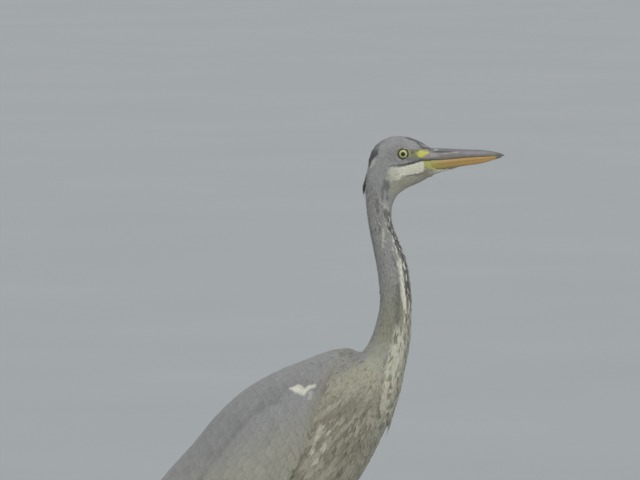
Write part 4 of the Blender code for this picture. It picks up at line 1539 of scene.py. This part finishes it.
# Tertials above in three layers, secondaries along the lower edge, primaries at the end.
wing_batches = [coverts]
for layer in range(3):
    run = (5.3 + 0.75 * layer, 6.0 + 0.75 * layer)
    length, width, depth = 88 - 6 * layer, 24.0 - 2 * layer, 3.0 - 0.3 * layer
    wing_batches.append(
        flight_row(
            7, run, (0.06, 0.62), (length, length), width, ROUNDED, 620 + 10 * layer,
            tertial_marks, depth,
        )
    )
wing_batches += [
    flight_row(
        12, (4.2, 8.6), (1.02, 0.96), (78, 78), 22.0, ROUNDED, 660, slate_marks, 2.0, -0.02
    ),
    flight_row(12, (7.6, 8.6), (0.98, -0.05), (98, 150), 19.0, POINTED, 670, slate_marks, 2.4),
]
for side_name, side in SIDES.items():
    own_wing = [one_side(batch, side) for batch in wing_batches]
    lay_vanes("wing_coat_" + side_name, own_wing, "wing_feather")

# ---------------------------------------------------------------- tail
# Twelve grey feathers, folded so that the middle pair lies on top and the outer ones
# stick out a little below it on both sides.

TAIL_ROOT = np.array((-186, 0, 287.0))
TAIL_TIP = np.array((-283.5, 0, 199.5))
TAIL_SPREAD = 16  # how far to the side the outermost feathers' tips reach
TAIL_COUNT = 12
TAIL_LENGTH = 131
TAIL_WIDTH = 24
TAIL_SHAPE = [
    (0.08, 0.35), (0.25, 0.62), (0.48, 0.82), (0.68, 0.96), (0.85, 1.0), (0.95, 0.82), (0.985, 0.5),
]


def tail_batch():
    """The tail feathers side by side, each a little under its inner neighbour."""
    line, normals = [], []
    count = TAIL_COUNT
    shares = stations(TAIL_SHAPE)[:, None]
    along = unit(TAIL_TIP - TAIL_ROOT)
    up = np.array((along[2], 0, -along[0])) * -1
    half = (count - 1) / 2
    for k in range(count):
        out = (k - half) / half
        under = abs(out) * 5.0
        tip = TAIL_TIP - along * 5 * out**2 + np.array((0, TAIL_SPREAD * out, 0))
        root = TAIL_ROOT + np.array((0, 7 * out, 0))
        bow = np.sin(shares * math.pi) * up * 1.5
        line.append(root + (tip - root) * shares + bow - up * (under * 0.5 + 0.35 * (k % 2)))
        tilt = unit(up + np.array((0, 0.35 * out, 0)))
        normals.append(np.tile(tilt, (len(shares), 1)))
    line, normals, even = np.array(line), np.array(normals), np.zeros(count)
    long, wide = np.full(count, float(TAIL_LENGTH)), np.full(count, float(TAIL_WIDTH))
    arrays = vane_arrays(
        line, normals, TAIL_SHAPE, wide, even, even, 0.6, FEATHER_ACROSS, 701,
        rolling=0, round=0.25,
    )
    own = np.c_[even + 0.35, even, even + 0.1, shade(count, 702, 0.05)]
    place = np.c_[np.linspace(0.1, 0.9, count), np.full(count, 0.5)]
    return Vanes(arrays, own, long, wide, place, wing_feather)


lay_vanes("tail_coat", [tail_batch()], "tail_feather", "tail")

# ---------------------------------------------------------------- bill
# Two halves of horn that meet along the mouth. The upper one is grey brown with a rounded
# ridge, a groove from the slit nostril forward and a dark tip; the lower one is orange.

BILL = [  # place along X, ridge, mouth line, lower edge, half width
    (183, 866.5, 850, 835, 9.6), (196, 866.3, 850.5, 836.5, 8.4), (217, 865.5, 852.3, 840, 7.0),
    (231, 865, 853.7, 842.5, 6.0), (246, 864.7, 854.8, 844.6, 4.9), (258, 864, 855.4, 847, 3.8),
    (268, 862.7, 855.9, 850, 2.8), (277, 860.9, 856.1, 852.9, 1.9), (282, 859.5, 856.1, 854.6, 1.2),
]
BILL_TIP = {"upper": (285.6, 1.7), "lower": (282.4, 0.7)}
BILL_LEAN = (183, 866.5, 190, 835)  # the root's upper and lower corner
BILL_GAP = 0.15
NOSTRIL = (190, 204, 861.8)  # from, to, height
GROOVE_END = 240
GROOVE_DEPTH, NOSTRIL_DEPTH = 0.45, 1.3
BILL_RINGS, BILL_AROUND = 90, 28


def loft_mesh(name, rings):
    """A closed mesh over rings of points, with a point-like fan at each end."""
    rings = np.asarray(rings, float)
    count, around = rings.shape[:2]
    k = np.arange(around)
    faces = []
    for ring in range(count - 1):
        low, high = ring * around, (ring + 1) * around
        after = (k + 1) % around
        faces.extend(np.c_[low + k, low + after, high + after, high + k].tolist())
    start, end = count * around, count * around + 1
    last = (count - 1) * around
    faces.extend([[start, (n + 1) % around, n] for n in range(around)])
    faces.extend([[end, last + n, last + (n + 1) % around] for n in range(around)])
    points = np.r_[rings.reshape(-1, 3), [rings[0].mean(0)], [rings[-1].mean(0)]]
    mesh = bpy.data.meshes.new(name)
    mesh.from_pydata((points * MM).tolist(), [], faces)
    built = bmesh.new()
    built.from_mesh(mesh)
    bmesh.ops.recalc_face_normals(built, faces=built.faces)
    built.to_mesh(mesh)
    built.free()
    mesh.shade_smooth()
    return mesh


def with_ends(values):
    """One value a ring point, and the mean of the first and last ring for the fans."""
    values = np.asarray(values, float)
    return np.r_[values.reshape(-1, values.shape[-1]), [values[0].mean(0)], [values[-1].mean(0)]]


def bill_half(which):
    """Rings of one half, and for each point its share of the length and of the height."""
    way = 1 if which == "upper" else -1
    tip_x, tip_depth = BILL_TIP[which]
    rings, notes = [], []
    last = len(BILL) - 1
    for n in range(BILL_RINGS):
        at = (n / (BILL_RINGS - 1)) ** 0.9 * (last + 0.999)
        x, ridge, mouth, lower, wide = between_rows(BILL, np.array([min(at, last)]))[0]
        edge = ridge if way > 0 else lower
        past = max(at - last, 0)
        depth = (edge - mouth) * way * (1 - past) + tip_depth * past
        taper = math.sqrt(max(1 - past**2, 0.02))
        x = x + (tip_x - BILL[-1][0]) * past
        u = np.linspace(-1, 1, BILL_AROUND)
        y = wide * taper * np.sin(np.abs(u) * math.pi / 2 * 0.985) ** 0.94 * np.sign(u)
        up = np.cos(u * math.pi / 2) ** 0.92 * depth
        y *= 1 - 0.05 * ramp(1 - np.abs(u), 0.10, 0.0)
        z = mouth + way * (BILL_GAP + up)
        xs = np.full(len(u), x)
        if at < 1:
            top_x, top_z, low_x, low_z = BILL_LEAN
            leaning = top_x + (low_x - top_x) * (top_z - z) / (top_z - low_z) - 1.2
            xs = leaning * (1 - at) + xs * at
        if which == "upper":
            line = NOSTRIL[2] - 0.01 * (xs - NOSTRIL[0])
            fade = ramp(xs, GROOVE_END, GROOVE_END - 30) * ramp(xs, 186, 190)
            sunk = GROOVE_DEPTH * np.exp(-(((z - line) / 1.1) ** 2)) * fade
            slit_and_shade = ramp(xs, NOSTRIL[0] - 2, NOSTRIL[0]) * ramp(xs, NOSTRIL[1], NOSTRIL[1] - 3)
            sunk += NOSTRIL_DEPTH * np.exp(-(((z - line) / 0.6) ** 2)) * slit_and_shade
            # The nostril slit and the groove ahead of it are painted near black: painted shade in the
            # recess.
            slit_and_shade = np.maximum(slit_and_shade, 0.85 * fade * ramp(xs, 222, 208))
        else:
            line = mouth - 0.62 * depth
            fade = ramp(xs, 262, 235) * ramp(xs, 184, 196)
            sunk = 0.30 * np.exp(-(((z - line) / 0.9) ** 2)) * fade
            slit_and_shade = np.zeros(len(xs))
        y = y - np.sign(y) * np.minimum(sunk, np.abs(y) * 0.8)
        rings.append(np.c_[xs, y, z])
        share = np.full(len(u), (x - BILL[0][0]) / (tip_x - BILL[0][0]))
        high = up / max(depth, 1e-6)
        notes.append(np.c_[share, high, np.minimum(slit_and_shade * np.exp(-(((z - line) / 1.25) ** 2)), 1)])
    return rings, notes


def make_horn_group():
    """Fine lengthwise fibres and a faint cloudiness in horn."""
    tree, (light, deep, amount), out = new_pattern("horn_grain", ("Light", "Deep"), ("Fibres",))
    fibres = noise_node(tree, 260, 4, stretch=(0.12, 1, 1))
    cloud = noise_node(tree, 120, 3)
    share = value_node(tree, "MULTIPLY_ADD", fibres, amount, cloud)
    share = value_node(tree, "SUBTRACT", share, 0.25, clamp=True)
    tree.links.new(colour_node(tree, share, light, deep), out["Color"])
    tree.links.new(fibres, out["Height"])
    return tree


horn_grain = make_horn_group()


def horn_material(name, light, deep, roughness):
    """Plain horn in two tones. Its marks are added where they are needed."""
    gloss = {"Roughness": roughness, "Coat Weight": 0.15, "Coat Roughness": 0.3}
    made, tree, shader = new_paint(name, gloss)
    values = {"Light": light, "Deep": deep, "Fibres": 0.5}
    colour = lay_pattern(tree, shader, horn_grain, values, 0.25, 0.0003)
    return made, tree, colour, shader.inputs["Base Color"]


def band(tree, value, low, high, soft):
    """1 where a socket's value lies between two numbers, with soft edges."""
    slopes = []
    for start, end in ((low - soft, low + soft), (high + soft, high - soft)):
        slope = tree.nodes.new("ShaderNodeMapRange")
        slope.interpolation_type = "SMOOTHSTEP"
        slope.inputs["From Min"].default_value = start
        slope.inputs["From Max"].default_value = end
        tree.links.new(value, slope.inputs["Value"])
        slopes.append(slope.outputs["Result"])
    return product(tree, *slopes)


def marked(tree, colour, rows):
    """A bill's colour with soft-edged marks laid over it one after another.

    A row holds the shares of the height and of the length that a mark covers, each from,
    to and softness, how much it climbs along the bill, its strength and its colour.
    """
    length, height, _ = stored_numbers(tree, "horn")
    for high, far, climb, strength, tone in rows:
        level = value_node(tree, "SUBTRACT", height, product(tree, length, climb))
        share = product(tree, band(tree, level, *high), band(tree, length, *far))
        colour = colour_node(tree, product(tree, share, strength), colour, tone)
    return colour


ALL = (-9, 9, 0.1)  # the whole height or length
UPPER_MARKS = [
    ((0.22, 0.62, 0.10), (-9, 0.13, 0.05), 0, 0.7, (0.30, 0.262, 0.275)),  # mauve root
    ((0.14, 0.42, 0.08), (0.22, 0.42, 0.05), 0, 0.5, (0.185, 0.155, 0.095)),
    ((0.38, 0.50, 0.05), (0.17, 0.40, 0.04), 0.6, 0.8, (0.31, 0.33, 0.29)),  # pale streak
    # painted sheen, purple grey, along the middle of the side
    ((0.35, 0.75, 0.12), (0.45, 0.78, 0.08), 0, 0.5, (0.25, 0.23, 0.265)),
    ((0.76, 9, 0.06), (0.10, 0.62, 0.08), 0, 0.6, (0.150, 0.145, 0.170)),  # ridge
    ((0.70, 0.95, 0.08), (-9, 0.06, 0.03), 0, 0.6, (0.105, 0.125, 0.100)),
    # painted highlight, pale green-grey, on the ridge near the root
    ((0.80, 0.93, 0.05), (0.085, 0.115, 0.015), 0, 0.7, (0.42, 0.46, 0.43)),
    ((0.30, 9, 0.20), (0.80, 0.88, 0.04), 0, 0.5, (0.135, 0.135, 0.080)),
    (ALL, (0.900, 9, 0.045), 0, 0.85, (0.060, 0.066, 0.056)),  # tip
    ((-9, 0.06, 0.04), ALL, 0, 0.8, (0.115, 0.070, 0.035)),  # cutting edge
    ((-9, 0.08, 0.05), (-9, 0.12, 0.06), 0, 0.7, (0.050, 0.045, 0.035)),
]
LOWER_MARKS = [
    (ALL, (-9, 0.12, 0.16), 0, 0.95, (0.37, 0.37, 0.11)),  # yellow-green root
    ((0.50, 9, 0.15), (-9, 0.30, 0.10), 0, 0.7, (0.36, 0.31, 0.095)),
    ((0.06, 0.20, 0.05), (0.18, 0.38, 0.05), 0, 0.6, (0.42, 0.33, 0.21)),
    ((0.30, 0.46, 0.07), (0.09, 0.85, 0.08), 0, 0.5, (0.29, 0.175, 0.060)),  # brown line
    ((0.88, 9, 0.06), (-9, 0.35, 0.08), 0, 0.6, (0.22, 0.16, 0.11)),  # keel
    ((0.88, 9, 0.06), (0.36, 0.50, 0.05), 0, 0.6, (0.17, 0.16, 0.09)),
    (ALL, (0.925, 9, 0.02), 0, 0.9, (0.085, 0.09, 0.075)),  # tip
    ((-9, 0.04, 0.03), ALL, 0, 0.5, (0.16, 0.09, 0.04)),  # cutting edge
]


def upper_bill_material():
    """Grey brown with a mauve root, a pale streak below the groove, and a dark tip."""
    made, tree, colour, base = horn_material(
        "upper_bill_horn", (0.195, 0.180, 0.165), (0.105, 0.095, 0.085), 0.42
    )
    colour = marked(tree, colour, UPPER_MARKS)
    # Painted shade: the nostril slit and the groove are darkened almost to black.
    slit_and_shade = product(tree, stored_numbers(tree, "horn")[2], 0.95)
    tree.links.new(colour_node(tree, slit_and_shade, colour, (0.014, 0.013, 0.013)), base)
    return made


def lower_bill_material():
    """Orange, yellow-green at the root, with a brown line along it and a dark tip."""
    made, tree, colour, base = horn_material(
        "lower_bill_horn", (0.53, 0.340, 0.105), (0.39, 0.235, 0.070), 0.40
    )
    tree.links.new(marked(tree, colour, LOWER_MARKS), base)
    return made


for which, paint in (("upper", upper_bill_material), ("lower", lower_bill_material)):
    bill_rings, bill_marks = bill_half(which)
    bill_mesh = loft_mesh("bill_" + which, bill_rings)
    store(bill_mesh, "horn", "vector", with_ends(bill_marks))
    bill_mesh.set_sharp_from_angle(angle=math.radians(55))
    bill_mesh.materials.append(paint())
    add_piece("horn_" + which, bill_mesh, "bill_" + which, "bill_" + which)

# ---------------------------------------------------------------- eyes
# Each eye is a glossy ball with a pale yellow iris, finely rayed and dark-edged, round a
# small black pupil under a slightly bulging cornea.

PUPIL = 2.9
IRIS = 6.15
CORNEA_RISE = 0.7
EYE_AROUND = 48
EYE_BACK = 20.0  # what the back of the ball stores as its distance


def eye_ball(side):
    """A ball of rings round the eye's own axis, with what is stored at each point."""
    centre = np.array((EYE[0], side * EYE[1], EYE[2]))
    axis = eye_axis(side)
    level = unit(np.cross(axis, (0, 0, 1)))
    upright = np.cross(level, axis)
    rings, notes = [], []
    turn = np.linspace(0, math.tau, EYE_AROUND, endpoint=False)[:, None]
    round_axis = level * np.cos(turn) + upright * np.sin(turn)
    for polar in np.radians(np.r_[np.linspace(2, 50, 30), np.linspace(56, 176, 14)]):
        front = polar < math.pi / 2
        across = EYE_RADIUS * math.sin(polar)
        ahead = EYE_RADIUS * math.cos(polar)
        ahead += CORNEA_RISE * float(ramp(across, IRIS + 0.6, 0)) * front
        rings.append(centre + axis * ahead + round_axis * across)
        out = np.full(EYE_AROUND, across if front else EYE_BACK)
        notes.append(np.c_[out, np.cos(turn[:, 0]), np.sin(turn[:, 0])])
    return rings, notes


def eye_material():
    """Pupil, rayed iris and dark rim, by the distance from the middle of the eye."""
    gloss = {"Roughness": 0.22, "Specular IOR Level": 0.25}
    gloss |= {"Coat Weight": 0.22, "Coat Roughness": 0.03}
    made, tree, shader = new_paint("eye_glass", gloss)
    out = stored_numbers(tree, "eye")[0]
    stored = attribute_node(tree, "eye").outputs["Vector"]
    rays = noise_node(tree, 1.6, 3, (0.18, 9, 9), stored)
    iris = colour_node(tree, rays, (0.54, 0.56, 0.28), (0.36, 0.39, 0.15))
    inner = product(tree, band(tree, out, 0, PUPIL + 0.7, 0.5), 0.55)
    iris = colour_node(tree, inner, iris, (0.22, 0.20, 0.05))
    rim = product(tree, band(tree, out, IRIS - 0.75, 40, 0.45), 0.9)
    iris = colour_node(tree, rim, iris, (0.045, 0.046, 0.020))
    colour = colour_node(tree, band(tree, out, -5, PUPIL, 0.12), iris, (0.011, 0.011, 0.003))
    colour = colour_node(tree, band(tree, out, IRIS + 0.5, 40, 0.3), colour, (0.02, 0.02, 0.015))
    tree.links.new(colour, shader.inputs["Base Color"])
    return made


eye_paint = eye_material()
for side_name, side in SIDES.items():
    eye_rings, eye_notes = eye_ball(side)
    eye_mesh = loft_mesh("eye_" + side_name, eye_rings)
    store(eye_mesh, "eye", "vector", with_ends(eye_notes))
    eye_mesh.materials.append(eye_paint)
    add_piece("glass_eye_" + side_name, eye_mesh, "eye", "eye_" + side_name)

# ---------------------------------------------------------------- legs and feet
# Long bare legs in brownish grey scales: broad plates down the front of the leg and
# over the toes, small six-sided scales behind. Toes have pads below and dark curved claws.

FOOT = (-45, 42)  # the feet along X before their stride, and off the midline
STRIDE = {"right": 7, "left": -7}
FOOT_TURN = 8
LEG = [  # height, place ahead of the foot, half depth, half width
    (10, 0.3, 6.6, 6.8), (14.3, 0, 6, 6.2), (24, -1.5, 5, 4.4), (60, -5, 4.8, 3.9),
    (110, -10.5, 4.9, 4), (138, -14, 5.8, 5), (150, -16, 7.8, 7.2), (160, -16.5, 8.2, 7.6),
    (169, -15, 6.6, 6.2), (180, -12.5, 5.3, 4.8), (198, -9, 5.2, 4.7), (212, -6, 5.3, 4.8),
    (225, -3.5, 5.3, 4.8),
]
LEG_PLATE = 5.2  # height of one plate on the front of the leg
TOE_PLATE = 3.3
PLATE_RISE = 0.28
TOES = {  # direction, length, joints, thickness at the root and at the tip, claw
    "inner": (30, 82, 2, 7.2, 5, 14), "middle": (0, 100, 3, 7.6, 5, 15),
    "outer": (-34, 86, 4, 7.2, 4.8, 13), "hind": (172, 54, 1, 7.4, 5.2, 22),
}
TOE_START = 5
SOLE_LEVEL = 0.86
CLAW_LIFT = 0.5
CLAW_ARCH = 2.2
LEG_AROUND, TOE_AROUND, FOOT_AROUND, CLAW_AROUND = 32, 20, 40, 16
FOOT_RADIUS = 11.4
FOOT_SHAPE = [0, 1, 3.5, 7.5, 11, 14], [0.93, 1, 1, 0.82, 0.62, 0.5]  # height, share of it


def plates(run, pitch):
    """The rise of overlapping plates along a run: a slow rise and a sudden step."""
    share = (run / pitch) % 1
    return ramp(share, 0.0, 0.18) * (1 - 0.45 * share)


def make_scale_group():
    """Small scales set like cells, darker in the seams between them."""
    tree, (light, deep, size), out = new_pattern("leg_scales", ("Light", "Deep"), ("Size",))
    place = tree.nodes.new("ShaderNodeTexCoord").outputs["Object"]
    cells = tree.nodes.new("ShaderNodeTexVoronoi")
    cells.feature = "DISTANCE_TO_EDGE"
    tree.links.new(place, cells.inputs["Vector"])
    tree.links.new(size, cells.inputs["Scale"])
    seam = value_node(tree, "MULTIPLY", cells.outputs["Distance"], 5.0, clamp=True)
    plated, darker, _ = stored_numbers(tree, "scales")
    small = value_node(tree, "SUBTRACT", 1.0, plated)
    sunk = product(tree, value_node(tree, "SUBTRACT", 1.0, seam), small)
    cloud = noise_node(tree, 90, 4)
    dark = value_node(tree, "MULTIPLY_ADD", sunk, 0.55, darker)
    dark = value_node(tree, "ADD", dark, value_node(tree, "SUBTRACT", cloud, 0.5), clamp=True)
    tree.links.new(colour_node(tree, dark, light, deep), out["Color"])
    tree.links.new(value_node(tree, "SUBTRACT", 1.0, sunk), out["Height"])
    return tree


def leg_material():
    """Brownish grey scales with a greenish yellow tinge in the lighter places."""
    made, tree, shader = new_paint("leg_scales", {"Roughness": 0.5, "Coat Weight": 0.08})
    values = {"Light": (0.235, 0.205, 0.125), "Deep": (0.085, 0.075, 0.055), "Size": 520}
    lay_pattern(tree, shader, make_scale_group(), values, 0.6, 0.0004)
    return made


def circle(count):
    """So many angles, evenly round."""
    return np.linspace(0, math.tau, count, endpoint=False)


def leg_rings(side_name, side):
    """Level rings up the leg, with the plates on its front standing out."""
    heights = np.arange(8.0, 224.0, 0.65)
    table = np.array(LEG, float)
    at = np.interp(heights, table[:, 0], np.arange(len(table)))
    rows = between_rows(table[:, 1:], at)
    turn = circle(LEG_AROUND)
    front = ramp(np.cos(turn), 0.35, 0.75)
    rings, notes = [], []
    for height, (ahead, deep, wide) in zip(heights, rows):
        joint = math.exp(-(((height - 156) / 12) ** 2))
        step = plates(height, LEG_PLATE * (1 - 0.35 * joint))
        rise = PLATE_RISE * front * (step - 0.5) - 0.10
        x = FOOT[0] + STRIDE[side_name] + ahead + (deep + rise) * np.cos(turn)
        y = side * FOOT[1] + (wide + rise) * np.sin(turn)
        rings.append(np.c_[x, y, np.full(LEG_AROUND, height)])
        notes.append(np.c_[front, 0.35 * front * (step < 0.35) + 0.15 * joint, 0 * turn])
    return rings, notes


def foot_place(side_name, side):
    """The middle of a foot on the floor."""
    return np.array((FOOT[0] + STRIDE[side_name], side * FOOT[1], 0))


def toe_ways(side, direction):
    """The way a toe points, and the way across it."""
    angle = math.radians(side * (FOOT_TURN - direction))
    along = np.array((math.cos(angle), math.sin(angle), 0))
    return along, np.array((-along[1], along[0], 0))


def toe_rings(side_name, side, toe):
    """Rings along one toe: plates above, soft pads below that flatten on the floor."""
    direction, length, joints, base, tip, _ = TOES[toe]
    (along, sideways), middle = toe_ways(side, direction), foot_place(side_name, side)
    turn = circle(TOE_AROUND)
    top = ramp(np.sin(turn), 0.0, 0.5)
    rings, notes = [], []
    for run in np.arange(TOE_START, length + 0.4, 0.55):
        share = (run - 12) / (length - 12)
        half = (base + (tip - base) * np.clip(share, 0, 1)) / 2
        pad = 1 + 0.07 * math.cos(math.tau * share * (joints + 1))
        end = math.sqrt(max(0.25, 1 - max(0, (run - length + 2.2) / 2.6) ** 2))
        step = plates(run, TOE_PLATE)
        radius = half * pad * end + 0.22 * top * (step - 0.5) - 0.05
        place = middle + along * run + sideways * (radius * np.cos(turn))[:, None]
        place[:, 2] = np.maximum(0, half * SOLE_LEVEL + radius * np.sin(turn))
        rings.append(place)
        notes.append(np.c_[top, 0.4 * top * (step < 0.35) + 0.2 * (np.sin(turn) < -0.3), 0 * turn])
    return rings, notes


def hub_rings(side_name, side):
    """The rounded middle of the foot that the toes spring from."""
    middle, turn = foot_place(side_name, side), circle(FOOT_AROUND)
    rings, notes = [], []
    for height in np.linspace(0, FOOT_SHAPE[0][-1], 22):
        size = np.interp(height, *FOOT_SHAPE)
        lobes = 1 + 0.05 * np.cos(turn * 4 + 0.4) * ramp(height, 9, 2)
        ring = np.c_[np.cos(turn), np.sin(turn), 0 * turn] * FOOT_RADIUS * size * lobes[:, None]
        rings.append(middle + ring + np.array((0, 0, height)))
        notes.append(np.tile((0.0, 0.1, 0.0), (FOOT_AROUND, 1)))
    return rings, notes


def claw_rings(side_name, side, toe):
    """Rings along a claw: arched above, hollowed below, drawn to a point."""
    direction, length, _, _, tip, claw = TOES[toe]
    (along, sideways), middle = toe_ways(side, direction), foot_place(side_name, side)
    turn, rings = circle(CLAW_AROUND), []
    for share in np.linspace(-0.12, 1, 26):
        half = tip / 2 * 0.86 * (1 - 0.9 * max(share, 0) ** 1.35)
        run = length + claw * share
        arch = CLAW_ARCH * math.sin(math.pi * max(share, 0) ** 0.8) + CLAW_LIFT
        narrow = half * np.cos(turn) * (0.80 + 0.12 * np.sin(turn))
        up = half * (SOLE_LEVEL + np.where(np.sin(turn) < 0, 0.8, 1.0) * np.sin(turn))
        place = middle + along * run + sideways * narrow[:, None]
        place[:, 2] = up + arch
        rings.append(place)
    return rings


scales = leg_material()
claw_horn = horn_material("claw_horn", (0.075, 0.065, 0.055), (0.030, 0.027, 0.024), 0.35)[0]
for side_name, side in SIDES.items():
    made_of = {
        "scaled_leg_" + side_name: (leg_rings, (), ["shank_" + side_name, "tarsus_" + side_name]),
        "scaled_foot_" + side_name: (hub_rings, (), ["foot_" + side_name]),
    }
    for toe in TOES:
        own_name = f"toe_{side_name}_{toe}"
        made_of["scaled_" + own_name] = (toe_rings, (toe,), [own_name])
    for name, (make, more, nodes) in made_of.items():
        rings, notes = make(side_name, side, *more)
        mesh = loft_mesh(name, rings)
        store(mesh, "scales", "vector", with_ends(notes))
        mesh.materials.append(scales)
        add_piece(name, mesh, "leg_scale", *nodes)
    for toe in TOES:
        own_name = f"claw_{side_name}_{toe}"
        mesh = loft_mesh("horn_" + own_name, claw_rings(side_name, side, toe))
        mesh.materials.append(claw_horn)
        add_piece("horn_" + own_name, mesh, "claw_horn", own_name)
